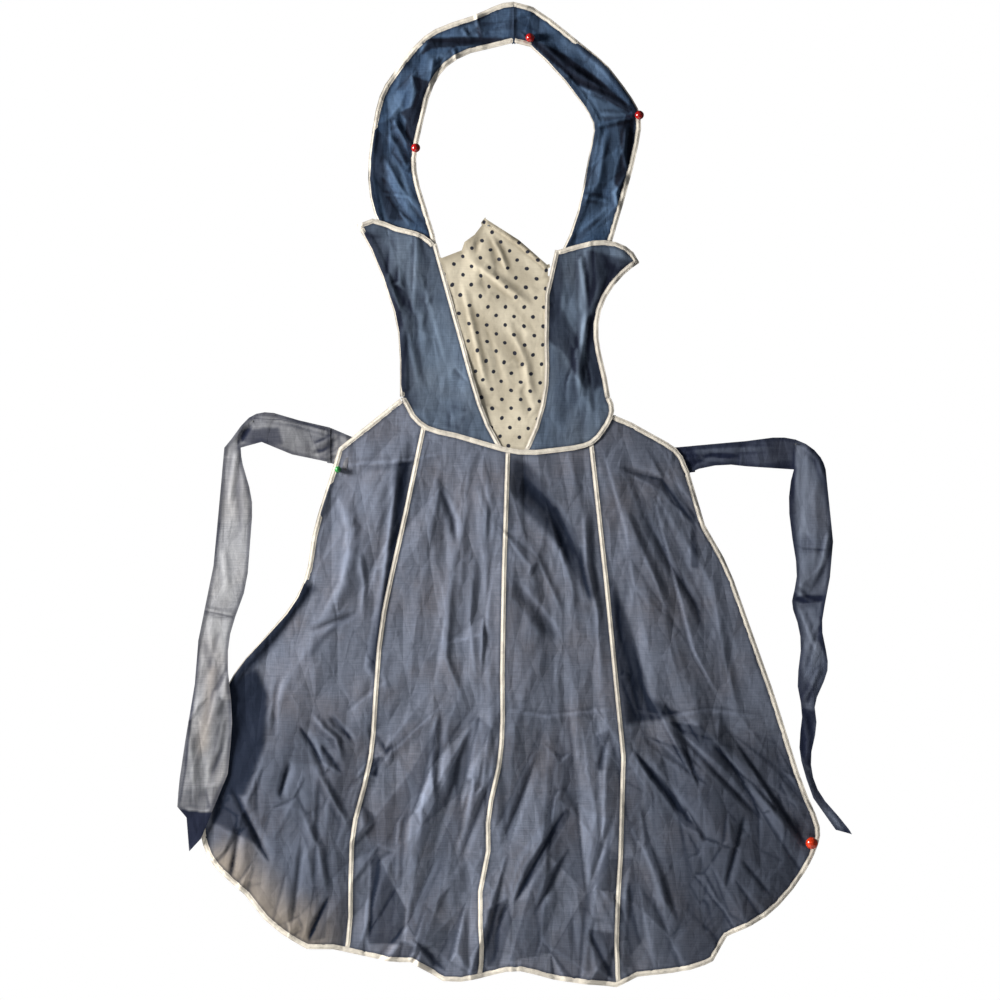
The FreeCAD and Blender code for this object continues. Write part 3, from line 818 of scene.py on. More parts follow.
def skirt_folds():
    f = Folds(GORES + ["skirt_binding"])
    knees = ramp(f.z, -0.69, -0.80)
    left = ramp(f.x, -0.17, -0.21)
    f.drape((-20, -150), ((5.0, 2.4, 3), (2.4, 0.7, 4)))
    f.height *= 0.6 + 0.8 * knees
    # fine lines that hang from the yoke, and the deep sharp folds below the knees
    f.pleats(2, 21, 1.0, 101, 0.5 - 0.3 * knees, 0.3, 9.0, -0.1)
    f.pleats(6, 37, 2.2, 102, 0.35 + 0.25 * knees, 0.2, 9.0)
    f.pleats(-6, 46, 2.4, 103, 0.40 + 0.20 * knees, 0.2, 9.0)
    f.crumple(170, 5.0, 2.5, 14, 1 - knees, YOKE_FAN, 0.1)
    f.crumple(300, 4.5, 5.2, 11, knees * (1 - left), (60, -540, -1, 320), 0.45)
    f.crumple(330, 4.5, 5.2, 13, knees * left, (-225, -520, -1, 320), 0.45)
    f.crumple(1100, 3.0, 1.7, 12, 0.4 + 0.6 * knees, YOKE_FAN, 0.16)
    f.height += 3.2 * MM
    # pressed folds beside the outer seams and across under the yoke, with painted shade along them
    f.fold([-137, -405, -147, -488, -156, -557, -161, -601, -169, -657, -183, -728], 2.4, 9, 10,
            start=0.1, end=0.3)
    f.patch([-149, -466, -129, -463, -139, -552, -157, -623, -172, -700, -178, -690, -170, -640,
            -159, -587, -151, -521], 0.85, soft=2)
    f.shade([-131, -430, -137, -470, -146, -540], 0.45, 5, 6)
    f.fold([60, -502, 62, -579, 74, -630, 79, -728], 2.0, 6, 10, start=0.2)
    f.shade([66, -500, 69, -579, 80, -640], 0.55, 5, 6)
    f.fold([-207, -471, -183, -467, -135, -464, -77, -452], 1.2, 4, 4, start=0.1)
    f.shade([-190, -475, -135, -470], 0.35, 5, 5)
    # slanting hollows of the right centre gore, with painted shade in them
    f.fold([-20, -470, 24, -520, 62, -590], -3.2, 16, 12, sharp=False)
    f.patch([-21, -461, 0, -468, 51, -542, 72, -612, 66, -620, 30, -557, -8, -516, -21, -500], 0.80,
            soft=3)
    f.fold([-22, -595, 8, -630, 34, -668], -2.6, 14, 9, sharp=False)
    f.patch([-20, -590, 2, -606, 36, -660, 20, -662, -8, -632], 0.30, soft=4)
    f.fold([0, -552, 26, -610, 38, -640], 1.8, 10, 6)
    f.fold([12, -500, 46, -600, 52, -660], 1.6, 14, 6)
    f.fold([-60, -470, -44, -520, -48, -580], -1.6, 7, 6)
    f.fold([-100, -490, -84, -530, -80, -566], -2.0, 8, 6)
    f.patch([-104, -484, -98, -486, -82, -528, -82, -556, -92, -528], 0.5, soft=2)
    f.fold([-86, -585, -92, -680, -70, -740], 1.8, 12, 6)
    f.fold([-60, -560, -66, -640, -58, -720], 1.8, 14, 7)
    # right gore: pulled from the tie, and the shade beside its seam
    f.fold([116, -433, 145, -484, 182, -531], 2.0, 10, 5)
    f.fold([87, -469, 113, -475, 145, -484, 178, -532], -2.4, 8, 7)
    f.patch([101, -474, 147, -484, 182, -524, 186, -584, 176, -582, 177, -534, 142, -496], 0.75,
            soft=1)
    f.fold([112, -500, 152, -575, 182, -622, 190, -656], -2.2, 9, 6)
    f.patch([112, -498, 122, -502, 158, -572, 190, -622, 192, -662, 150, -578], 0.60, soft=2)
    f.fold([96, -500, 140, -600, 156, -650], 1.8, 12, 7)
    f.patch([86, -590, 94, -600, 134, -724, 170, -744, 104, -756, 96, -700], 0.85)
    f.fold([96, -600, 112, -680, 124, -742], -3.0, 12, 20, sharp=False)
    f.fold([200, -600, 214, -680, 232, -760], 1.8, 14, 8)
    # the fold pressed across the knees
    f.fold([-33, -736, 20, -745, 66, -740, 98, -736], 0.8, 8, 3, start=0.3, end=0.2)
    f.fold([112, -738, 150, -745, 198, -738, 262, -747], 1.0, 8, 3, start=0.2)
    # painted shade that deepens to the right and at the lower right, away from the light
    f.painted_shade = np.maximum(f.painted_shade, 0.26 * ramp(f.x + 0.25 * f.z, -0.12, 0.02))
    f.painted_shade = np.maximum(f.painted_shade, 0.60 * ramp(f.x, 0.10, 0.18) * ramp(f.z, -0.72, -0.80))
    # painted shade in the hollows between the folds below it, each with a valley along it
    for amount, *points in (
        (0.6, -38, -800, -40, -824, -88, -925, -70, -880),
        (0.45, -62, -740, -40, -760, -66, -800, -84, -850),
        (0.5, -68, -760, -92, -847, -99, -842, -75, -779),
        (0.55, 10, -784, -24, -852, -34, -895, -29, -862, -5, -803),
        (0.75, 39, -845, 46, -852, 0, -929, -19, -954, -5, -910),
        (0.6, 46, -886, 24, -934, 2, -968, 19, -920),
        (0.6, 92, -847, 87, -910, 63, -944, 82, -895),
        (0.65, -48, -958, -24, -944, -19, -968, -34, -1021, -48, -1021),
        (0.65, 63, -978, 92, -983, 92, -1036, 73, -1021),
        (0.55, 73, -765, 87, -760, 82, -803, 75, -808),
        (0.8, 111, -779, 150, -818, 189, -876, 169, -866, 131, -813),
        (0.7, 121, -765, 169, -779, 198, -823, 189, -818, 150, -779),
        (0.75, 150, -750, 189, -755, 237, -813, 261, -866, 252, -857, 218, -808),
        (0.6, 194, -770, 227, -784, 261, -823, 290, -866, 237, -779),
        (0.65, 121, -837, 131, -876, 150, -934, 165, -978, 145, -944, 126, -886),
        (0.65, 237, -847, 227, -905, 213, -939, 218, -895),
        (0.65, 189, -944, 208, -949, 203, -983, 196, -983),
        (0.5, 230, -900, 247, -929, 266, -944, 237, -934),
        (0.55, 112, -900, 122, -930, 126, -990, 110, -1010, 104, -960),
        (0.42, -231, -802, -196, -865, -220, -925, -238, -953, -240, -918, -235, -844),
        (0.9, -331, -816, -284, -908, -291, -901, -323, -858),
        (0.8, -319, -862, -328, -924, -333, -920, -323, -883),
        (0.75, -263, -792, -273, -837, -277, -837, -272, -809),
        (0.4, -136, -813, -132, -897, -143, -939, -178, -883, -182, -873, -161, -844),
        (0.72, -168, -894, -136, -957, -141, -996, -178, -996, -175, -904),
        (0.8, -164, -788, -168, -813, -182, -806, -180, -795),
        (0.75, -97, -735, -104, -778, -103, -844, -108, -809, -108, -770),
        (0.5, -59, -795, -59, -844, -90, -925, -69, -876),
        (0.65, -231, -774, -205, -799, -206, -809, -229, -795),
        (0.75, -242, -971, -220, -939, -224, -989, -245, -994),
        (0.65, -129, -989, -115, -996, -90, -1027, -108, -1020),
        (0.45, -250, -880, -256, -930, -262, -976, -268, -930),
    ):
        f.patch(points, amount, soft=1)
        ends = sorted(zip(points[::2], points[1::2]), key=lambda p: -p[1])
        f.fold([ends[0], ends[-1]], -3.6 * amount, 6, 9, start=0.3, end=0.3)
    # painted highlights on the lit sides of folds
    for amount, *points in (
        (0.3, -236, -442, -172, -442, -184, -610, -232, -588),
        (0.22, -96, -500, -36, -490, -36, -690, -98, -650),
        (0.55, -268, -795, -231, -799, -242, -844, -243, -911, -263, -968, -268, -925, -271, -844),
        (0.5, -138, -804, -104, -844, -125, -911, -134, -925, -132, -834),
        (0.45, -189, -897, -176, -894, -176, -989, -196, -992),
        (0.55, -115, -925, -97, -897, -125, -975, -129, -960),
        (0.55, 34, -837, 39, -847, -10, -905, -24, -944, -15, -900),
        (0.4, 53, -842, 92, -862, 82, -944, 68, -978, 58, -895),
        (0.4, 150, -823, 189, -837, 227, -910, 213, -910),
        (0.45, 111, -794, 121, -803, 150, -876, 136, -871),
        (0.35, 214, -790, 222, -780, 286, -880, 276, -890),
        (0.4, -66, -750, -52, -752, -78, -830, -94, -860),
    ):
        f.patch(points, amount, "light", 1 if amount > 0.33 else 7)
    # left gore: painted shadow at the turned-under edge, the green pin's drag, shaded puckers at
    # the knee
    f.patch([-250, -596, -234, -604, -276, -660, -312, -706, -338, -716], 0.95, soft=3)
    f.patch([-338, -708, -300, -690, -286, -722, -290, -780, -312, -834, -352, -838], 1.0, soft=3)
    f.patch([-352, -828, -318, -826, -291, -893, -306, -884, -352, -862], 0.9, soft=3)
    f.fold([-255, -840, -232, -890, -222, -950], 2.4, 10, 7)
    f.fold([-274, -690, -280, -730, -282, -776], -1.6, 6, 6)
    f.fold([-256, -752, -238, -778, -226, -806, -212, -800], -2.6, 7, 7)
    f.shade([-258, -750, -240, -776, -224, -806], 0.8, 5, 5)
    f.fold([-242, -740, -224, -760, -212, -770, -206, -796], 2.6, 7, 5)
    f.fold([-224, -742, -212, -756, -200, -766, -190, -780], -2.4, 5, 6)
    f.shade([-222, -740, -206, -758, -192, -776], 0.8, 5, 5)
    f.fold([-236, -800, -214, -840, -196, -872], 2.4, 8, 6)
    f.fold([-180, -752, -170, -772, -158, -784, -150, -772], -2.2, 6, 6)
    f.shade([-172, -762, -158, -784, -148, -774], 0.7, 6, 6)
    f.fold([-246, -652, -212, -640, -186, -628], -2.2, 7, 7)
    f.shade([-250, -690, -228, -660, -206, -640, -186, -628], 0.55, 6, 6)
    f.fold([-216, -484, -196, -540, -204, -600, -236, -660], 2.2, 10, 12, sharp=False)
    f.fold([-188, -560, -182, -600, -186, -640], 1.8, 7, 6)
    # painted light: a lighter tan at the lower left, where the wall shows through the thin cloth
    f.shade([-352, -878, -332, -925, -290, -972, -240, -996, -190, -1001], 1.0, 60, 60, "tan", 0.15,
            0.3)
    # the binding is turned right under along the lower left, and partly at the left hip
    f.shade([-244, -592, -286, -652, -333, -713, -350, -800, -364, -868], 1.0, 14, 14, "roll", 0.03,
            0.03)
    f.shade([-222, -480, -234, -530], 0.35, 14, 14, "roll", 0.2, 0.2)
    for name in ("waist_pin", "hem_pin"):
        f.pinned(*PIN_PLACES[name], 24)
    yoke_low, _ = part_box("yoke_piping")
    under_yoke = ramp(f.z, yoke_low.z - 0.045, yoke_low.z + 0.03)
    f.height *= 1 - 0.9 * under_yoke
    return f.finished(-1.2, 0.45, 0.4)


def bib_folds():
    f = Folds(["bib_panel_left", "bib_panel_right", "bib_inset", "yoke_piping", "wing_binding_left",
            "wing_binding_right"])
    f.crumple(120, 4.0, 2.4, 21, tint=0.2)
    f.crumple(300, 3.0, 0.9, 24, tint=0.12)
    f.drape((-20, -900), ((2.2, 0.5, 22), (1.0, 0.2, 23)))
    f.folds((
        (-172, -232, -140, -300, -118, -400, 1.3, 9, 7),
        (-150, -240, -126, -310, -112, -410, -1.0, 8, 8),
        (-128, -236, -108, -300, -88, -380, 1.4, 10, 8),
        (-110, -300, -94, -370, -82, -420, -1.1, 8, 6),
        (40, -250, 36, -300, 34, -370, 1.6, 8, 8),
        (84, -252, 60, -318, 50, -390, 2.0, 9, 7),
        (58, -262, 66, -330, 80, -396, -1.8, 8, 8),
        (36, -300, 52, -352, 60, -420, 1.6, 8, 6),
        (70, -300, 64, -360, 72, -430, -1.4, 7, 7),
        (100, -250, 84, -290, 70, -330, 1.2, 8, 6),
    ))
    # painted shade and painted highlights along the folds
    f.shade([30, -252, 30, -320, 36, -400], 0.5, 7, 8)
    f.shade([60, -262, 70, -335, 82, -396], 0.55, 7, 7)
    f.shade([66, -300, 58, -352, 50, -400], 0.55, 5, 6, "light")
    f.shade([86, -256, 60, -320], 0.45, 6, 6, "light")
    f.shade([-104, -420, -60, -436], 0.45, 8, 8)
    f.shade([56, -400, 60, -440], 0.4, 8, 8)
    # painted shade over the right panel, then patches of painted shade and painted highlights
    f.painted_shade = np.maximum(f.painted_shade, 0.10 * ramp(f.x, 0.0, 0.03))
    f.patches("painted_shade", 4, (
        (0.62, -190, -208, -168, -204, -144, -256, -127, -296, -130, -340, -128, -380, -118, -410,
         -136, -410, -150, -380, -160, -290),
    ))
    f.patches("painted_shade", 5, (
        (0.35, -132, -220, -104, -224, -92, -290, -86, -330, -100, -300),
        (0.25, -126, -404, -60, -396, -40, -436, -100, -430),
        (0.35, 20, -336, 40, -352, 60, -392, 40, -430, 24, -420),
    ))
    f.patches("light", 5, (
        (0.3, -126, -300, -96, -290, -84, -350, -92, -390, -122, -384),
    ))
    f.patches("painted_shade", 2, (
        (0.8, 62, -231, 118, -246, 86, -282, 76, -300, 76, -344, 82, -380, 69, -389, 63, -344, 60,
         -284),
        (0.75, 18, -246, 34, -234, 38, -266, 34, -294, 51, -326, 69, -375, 62, -389, 37, -347, 20,
         -333),
    ))
    f.patches("light", 1, (
        (0.55, 54, -244, 49, -294, 53, -330, 60, -352, 64, -340, 61, -284),
    ))
    f.patches("light", 3, (
        (0.35, 33, -272, 50, -294, 58, -360, 44, -330, 33, -294),
    ))
    f.fold([55, -236, 62, -284, 64, -344], 2.4, 12, 4, start=0.1)
    f.shade([-188, -212, -169, -245, -155, -284, -144, -326, -141, -392], 1.0, 14, 14, "roll", 0.06,
            0.06)
    # the wings stand forward a little at their points
    f.fold([-188, -206, -150, -212], 3.0, 16, 22, sharp=False, start=0.05, end=0.6)
    f.fold([118, -247, 80, -228], 3.0, 20, 16, sharp=False, start=0.05, end=0.6)
    f.soften()
    near_yoke = ramp(f.z, WAIST + 0.012, WAIST - 0.045)
    f.height *= 1 - 0.8 * near_yoke
    return f.finished(-0.3)


def inset_folds():
    f = Folds(["bib_inset", "inset_hem", "yoke_point_inset"])
    f.crumple(160, 1.8, 0.9, 31, tint=0.12)
    lines = (
        (-76, -238, -40, -262, 10, -300, 2.2, 9, 8),
        (-60, -250, -24, -290, 12, -330, -1.6, 9, 8),
        (-46, -214, -34, -232, -22, -262, 2.0, 6, 5),
        (-46, -208, -58, -226, -60, -240, -1.6, 6, 5),
        (-76, -262, -60, -330, -44, -400, 1.6, 6, 6),
        (-30, -300, -6, -350, 4, -400, 1.4, 9, 7),
        (-54, -300, -36, -356, -22, -420, -1.2, 8, 7),
        (-36, -210, -10, -228, 12, -246, 1.2, 5, 5),
    )
    # each fold has painted shade just right of it and below, away from the light
    for *points, height, left, right in lines:
        f.fold(points, height, left, right)
        f.shade(np.reshape(points, (-1, 2)) + (5, -3), 0.35, 7, 7)
    # painted shade down the left side, and painted shadows across the inset
    f.shade([-92, -240, -76, -300, -60, -370, -36, -436], 0.5, 5, 8)
    for amount, *points in (
        (0.6, -74, -294, -58, -296, -10, -343, -2, -364, -24, -354, -62, -320),
        (0.55, -48, -220, -30, -226, 4, -260, 12, -280, -20, -264, -54, -240),
        (0.4, -70, -218, -54, -222, -50, -240, -66, -250),
        (0.4, -52, -350, -40, -352, -24, -410, -34, -420),
    ):
        f.patch(points, amount, soft=4)
    f.soften()
    f.height *= 1 - 0.85 * ramp(f.z, WAIST + 0.012, WAIST - 0.045)
    return f.finished(-0.4)


def strap_folds():
    f = Folds(["neck_strap_left", "neck_strap_right", "neck_outer_binding_left",
            "neck_outer_binding_right"], 0.9 * MM)
    f.crumple(420, 0.45, 1.5, 41, 1.0, (-20, -110, 1, 110), 0.35)
    f.height += 1.4 * MM + 0.9 * MM * bumps(f.x, f.z, 0.045, 42)
    f.folds((
        # left half: folds that gather at the left pin, and the long fold below the top
        (-139, -13, -107, -2, -30, -2, -2.8, 6, 7),
        (-150, -40, -128, -14, -100, 0, 1.8, 8, 7),
        (-151, -88, -141, -106, -130, -124, 2.6, 7, 6),
        (-144, -78, -138, -98, -130, -116, -2.4, 6, 5),
        (-156, -104, -146, -120, -133, -146, 2.2, 7, 7),
        (-161, -130, -148, -154, -124, -190, 3.2, 9, 8),
        (-164, -150, -146, -182, -118, -214, -2.4, 8, 7),
        (-146, -150, -132, -180, -112, -212, -2.2, 6, 6),
        (-163, -171, -145, -173, -126, -176, 1.0, 3, 3),
        (-106, -20, -108, -40, -112, -60, 2.4, 6, 5),
        (-96, -18, -100, -34, -108, -50, -1.8, 5, 5),
        (-130, -30, -128, -60, -134, -90, 1.8, 9, 8),
        (-85, -10, -82, -18, -80, -26, 1.8, 5, 4),
        (-76, 12, -68, 2, -63, -4, 1.6, 5, 4),
        # the lapped join at the back of the neck
        (-60, 30, -58, 16, -52, 0, 3.0, 2.5, 14),
        (-18, 38, -18, 14, -19, -6, 1.0, 2.5, 2.5),
        (-10, 10, 11, -5, 40, -30, 2.6, 6, 8),
        (40, -30, 64, -46, 86, -60, 2.6, 7, 6),
        (52, -50, 84, -66, 116, -84, 2.8, 6, 6),
        (64, -58, 92, -72, 116, -86, -2.6, 5, 5),
        (72, -97, 92, -92, 118, -86, 2.6, 8, 4),
        (76, -84, 96, -84, 116, -85, 1.6, 6, 5),
        # the edge turned under on the right
        (106, -96, 103, -126, 107, -148, 2.4, 5, 6),
        (107, -148, 94, -170, 98, -194, 2.4, 6, 5),
        (56, -174, 72, -176, 90, -180, 2.0, 5, 5),
        (88, -184, 74, -196, 54, -212, 1.6, 6, 5),
        (84, -100, 80, -130, 74, -170, 1.6, 9, 8),
        (66, -110, 66, -140, 60, -170, -1.4, 7, 7),
    ), start=0.2, end=0.25)
    # painted shade in the hollows, and painted highlights on the lit folds
    f.patches("painted_shade", 1, (
        (0.92, -130, -41, -110, -48, -116, -88, -121, -112, -130, -118, -137, -103, -136, -91,
         -142, -81, -130, -75, -125, -60),
        (0.9, -110, 0, -74, 2, -24, 0, -28, -7, -74, -9, -108, -12, -122, -20),
        (0.85, -128, -124, -119, -130, -110, -176, -102, -214, -116, -196, -124, -160),
        (0.8, -60, 24, -55, 20, -50, -2, -56, -2),
        (0.9, -12, 9, 9, -3, 40, -19, 70, -40, 95, -62, 114, -79, 109, -82, 89, -71, 74, -62, 52,
         -52, 36, -37, 15, -19, 0, -4),
        (0.8, 95, -91, 116, -88, 114, -131, 101, -171, 92, -158, 95, -143, 101, -124),
        (0.5, 72, -200, 80, -198, 54, -222, 44, -222),
    ))
    f.patches("painted_shade", 2, (
        (0.75, -170, -100, -162, -104, -158, -160, -139, -201, -157, -200, -174, -140),
    ))
    f.patches("light", 1, (
        (0.45, -154, -63, -142, -60, -139, -81, -148, -88, -158, -75),
        (0.6, -153, -131, -142, -143, -130, -168, -119, -198, -130, -192, -145, -161),
        (0.75, 52, -53, 76, -64, 101, -77, 111, -84, 70, -94, 61, -74),
        (0.6, 106, -99, 103, -124, 106, -136, 111, -108),
        (0.75, 89, -155, 97, -168, 97, -190, 90, -176),
    ))
    f.patches("light", 2, (
        (0.35, -113, -20, -76, -14, -84, -24, -102, -40, -110, -50),
        (0.35, -8, 26, 20, 14, 58, -14, 84, -38, 96, -54, 70, -34, 40, -12, 8, 6),
    ))
    f.patches("light", 3, (
        (0.22, 68, -98, 94, -92, 99, -120, 88, -158, 56, -170, 62, -130),
        (0.25, 60, -178, 90, -182, 86, -206, 60, -222, 44, -222),
    ))
    # the binding shows less where the edges roll back
    f.shade([-4, -8, 34, -44, 68, -84, 72, -104, 66, -130, 54, -180, 28, -246], 1.0, 14, 14, "roll",
            0.03, 0.03)
    f.shade([44, 8, 84, -29, 106, -57, 121, -84], 0.8, 14, 14, "roll", 0.3, 0.04)
    f.shade([-170, -80, -180, -140, -166, -216], 0.6, 12, 12, "roll", 0.3, 0.05)
    f.soften()
    for name in ("top_pin", "left_pin", "right_pin"):
        f.pinned(*PIN_PLACES[name], 13)
    # the lower ends lie flat, a little further back, behind the bib's wings
    f.height *= 1 - 0.95 * ramp(f.z, -0.175, -0.222)
    f.height -= 0.7 * MM * ramp(f.z, -0.190, -0.206)
    return f.finished(-1.0, 0.35, 0.6)


def left_tie_folds():
    f = Folds(["left_tie", "left_tie_root", "left_tail"])
    f.crumple(150, 2.6, 1.7, 51, tint=0.10)
    f.folds((
        (-300, -417, -262, -422, -206, -438, 1.2, 3, 3),
        (-212, -436, -226, -444, -240, -450, 1.8, 4, 4),
        (-214, -446, -228, -453, -242, -456, -1.6, 4, 4),
        (-206, -452, -222, -460, -230, -464, 1.4, 4, 4),
        (-306, -418, -318, -430, -330, -448, 2.2, 6, 6),
        (-306, -424, -312, -434, -322, -448, -1.8, 5, 5),
        (-322, -450, -326, -480, -332, -520, 2.0, 6, 6),
        (-316, -470, -314, -520, -318, -570, 1.4, 7, 7),
        (-338, -560, -334, -600, -338, -612, 1.2, 6, 6),
        (-362, -626, -342, -632, -320, -634, 2.0, 5, 4),
        (-352, -640, -346, -700, -350, -760, 1.6, 8, 8),
        (-340, -650, -352, -690, -364, -720, -1.4, 6, 6),
        (-334, -740, -342, -780, -356, -812, 2.0, 8, 7),
        (-374, -760, -370, -800, -366, -846, 1.6, 7, 7),
        (-346, -846, -360, -850, -380, -846, 1.8, 5, 5),
        (-330, -690, -336, -720, -346, -746, 1.6, 6, 6),
    ), TIE_FOLDS, start=0.15, end=0.3)
    # painted shade over the run, darker than the tail, and in hollows; painted highlights on lit
    # folds
    f.painted_shade = np.maximum(f.painted_shade, 0.42 * ramp(f.z, -0.462, -0.452))
    f.patches("painted_shade", 2, (
        (0.85, -320, -429, -275, -426, -269, -449, -318, -445),
        (0.35, -318, -470, -312, -500, -318, -560, -324, -500),
        (0.35, -366, -660, -356, -662, -334, -706, -344, -760, -352, -770, -350, -700),
        (0.42, -350, -770, -336, -740, -338, -800, -352, -826),
    ))
    f.patches("painted_shade", 1, (
        (0.6, -244, -434, -221, -439, -222, -464, -230, -464),
        (1.0, -390, -846, -340, -851, -372, -896),
    ))
    f.patches("light", 2, (
        (0.5, -270, -428, -250, -430, -244, -446, -262, -450),
        (0.35, -362, -634, -326, -640, -330, -690, -344, -668),
    ))
    f.patches("light", 1, (
        (0.55, -336, -449, -318, -422, -323, -452, -329, -459),
    ))
    f.patches("painted_shade", 3, (
        (0.35, -338, -462, -328, -462, -338, -540, -350, -540),
        (0.45, -384, -826, -332, -818, -340, -850, -386, -850),
    ))
    f.patches("light", 3, (
        (0.4, -340, -560, -322, -556, -326, -620, -346, -610),
    ))
    # painted see-through tan on the tail
    f.patches("tan", 4, (
        (0.45, -352, -690, -344, -690, -354, -780, -366, -790),
    ))
    # thin lines of painted shade: the run's top, between run and tail, a crease, the tail's left
    # edge
    f.shade([-305, -418, -275, -419, -244, -425, -203, -436], 0.9, 1.8, 1.8, start=0.02)
    f.shade([-312, -418, -321, -440, -320, -460], 0.8, 2.5, 3, start=0.05)
    f.shade([-361, -629, -326, -636], 0.75, 1.8, 2, start=0.02, end=0.02)
    f.shade([-340, -525, -348, -575, -361, -616, -363, -631, -365, -682, -373, -752, -378, -803,
            -385, -844], 0.85, 2.4, 2.4, start=0.03, end=0.03)
    f.soften()
    return f.finished(-0.6, 0.3, 0.5)


def right_tie_folds():
    f = Folds(["right_tie", "right_tie_root", "right_tail"])
    f.crumple(170, 2.6, 1.8, 61, tint=0.2)
    f.folds((
        (165, -456, 220, -452, 280, -450, 1.2, 4, 5),
        (172, -470, 200, -458, 236, -460, -2.0, 5, 6),
        (166, -462, 196, -462, 230, -466, 1.6, 4, 4),
        (293, -446, 293, -470, 293, -520, 1.6, 4, 6),
        (300, -446, 316, -462, 326, -490, 1.8, 6, 5),
        (312, -480, 314, -540, 312, -590, 1.4, 9, 8),
        (330, -540, 320, -580, 306, -606, 1.8, 6, 6),
        (288, -604, 304, -616, 318, -622, 2.2, 5, 5),
        (294, -620, 306, -650, 318, -680, 2.0, 7, 6),
        (322, -640, 310, -670, 302, -700, -1.8, 6, 6),
        (320, -690, 308, -715, 298, -735, 2.0, 6, 5),
        (300, -740, 306, -770, 304, -800, 1.8, 6, 5),
        (300, -800, 312, -832, 334, -862, 2.2, 5, 5),
        (308, -790, 320, -830, 344, -864, -1.8, 4, 4),
    ), TIE_FOLDS, start=0.15, end=0.3)
    # painted shade over the run, darker than the tail; then painted shade and highlights in patches
    f.painted_shade = np.maximum(f.painted_shade, 0.62 * ramp(f.x, 0.296, 0.290))
    f.patches("painted_shade", 2, (
        (0.9, 161, -446, 176, -449, 191, -461, 176, -478, 163, -462),
        (0.8, 250, -466, 290, -461, 291, -474, 268, -476),
        (0.6, 296, -690, 304, -706, 317, -716, 309, -730, 294, -730),
    ))
    f.patches("light", 1, (
        (0.35, 183, -451, 251, -451, 262, -458, 193, -456),
        (0.5, 294, -629, 314, -624, 314, -653, 322, -684, 314, -692, 299, -662),
        (0.45, 318, -846, 330, -850, 346, -870, 336, -866),
    ))
    f.patches("light", 2, (
        (0.6, 292, -444, 304, -449, 309, -498, 307, -546, 292, -551),
        (0.5, 294, -566, 324, -566, 321, -609, 299, -616, 288, -604),
    ))
    f.patches("painted_shade", 3, (
        (0.6, 299, -446, 321, -457, 334, -488, 335, -519, 326, -512, 314, -474),
    ))
    f.patches("painted_shade", 1, (
        (0.85, 286, -617, 299, -612, 327, -611, 327, -619, 300, -622),
        (0.9, 321, -614, 328, -614, 326, -653, 326, -682, 316, -662, 319, -638),
        (0.85, 299, -735, 314, -740, 312, -769, 309, -803, 302, -798, 294, -779),
        (0.9, 340, -862, 358, -880, 350, -880),
    ))
    # thin lines of painted shade at a fold's edge and a crease
    f.shade([290, -442, 291, -462, 291, -483], 0.85, 2.0, 0.6, start=0.05)
    f.shade([291, -556, 299, -561, 331, -563], 0.6, 1.8, 1.8, start=0.05)
    f.soften()
    return f.finished(-0.6, 0.35, 0.6)


SKIRT, BIB, INSET, STRAP = skirt_folds(), bib_folds(), inset_folds(), strap_folds()
LEFT_TIE, RIGHT_TIE = left_tie_folds(), right_tie_folds()


# --- cutting and hanging every cloth --------------------------------------------------------
def rounded(proud, seed):
    """A folded tape: full in the middle, rolled at its edges, dipped at the stitching."""
    def shaping(points, gap, along):
        roll = proud * (1 - np.exp(-gap / (0.5 * MM)))
        dip = -0.22 * MM * np.exp(-((gap - STITCH_IN) / (0.5 * MM)) ** 2)
        pucker = 0.16 * MM * bumps(points[:, 0], points[:, 1], 5 * MM, seed)
        return roll + dip + pucker
    return shaping


def tape(name, nodes, folds, level, over=TAPE_PROUD, seed=1):
    return cloth(name, nodes, folds, level, TAPE_NET, TAPE_THICK, TAPE,
                 shaping=rounded(over, seed))


def hang(made, body=None):
    """Fastens a sheet."""
    fasten(made, body)


def fasten(made, body=None):
    """Rides a piece on a body, or else bakes its place into its mesh."""
    if body:
        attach(made[0], body)
    else:
        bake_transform(made[0])


SEAMS = ["seam_piping_left", "seam_piping_centre", "seam_piping_right"]
BIB_EDGES = ["bib_side_binding_left", "yoke_piping", "bib_side_binding_right"]

for node in GORES:
    made = cloth(node, [node], SKIRT, SKIRT_LEVEL, PANEL_NET, CLOTH_THICK, SKIRT_CLOTH,
                 beside=SEAMS + BIB_EDGES + ["skirt_binding"])
    hang(made, "skirt")
for node in SEAMS:
    fasten(tape(node, [node], SKIRT, SKIRT_LEVEL + OVER_SEAM), "skirt")
fasten(tape("skirt_binding", ["skirt_binding"], SKIRT, SKIRT_LEVEL, seed=2), "skirt")

for side in ("left", "right"):
    nodes = ["bib_panel_" + side, "yoke_point_" + side]
    made = cloth("bib_panel_" + side, nodes, BIB, BIB_LEVEL, PANEL_NET, CLOTH_THICK, BIB_CLOTH,
                 beside=BIB_EDGES + ["wing_binding_" + side, "inset_piping_" + side,
                                                 "inset_piping_end_" + side])
    hang(made)
    fasten(tape("wing_binding_" + side, ["wing_binding_" + side], BIB, BIB_LEVEL, seed=3), "bib")
    fasten(tape("inset_piping_" + side, ["inset_piping_" + side,
                                          "inset_piping_end_" + side], BIB,
                BIB_LEVEL + OVER_SEAM, seed=6))
    bindings = ["neck_%s_binding_%s" % (edge, side) for edge in ("outer", "inner")]
    strap = cloth("neck_strap_" + side, ["neck_strap_" + side], STRAP, SKIRT_LEVEL, STRAP_NET,
                  CLOTH_THICK, STRAP_CLOTH, beside=bindings)
    hang(strap)
    for node in bindings:
        fasten(tape(node, [node], STRAP, SKIRT_LEVEL, seed=4))

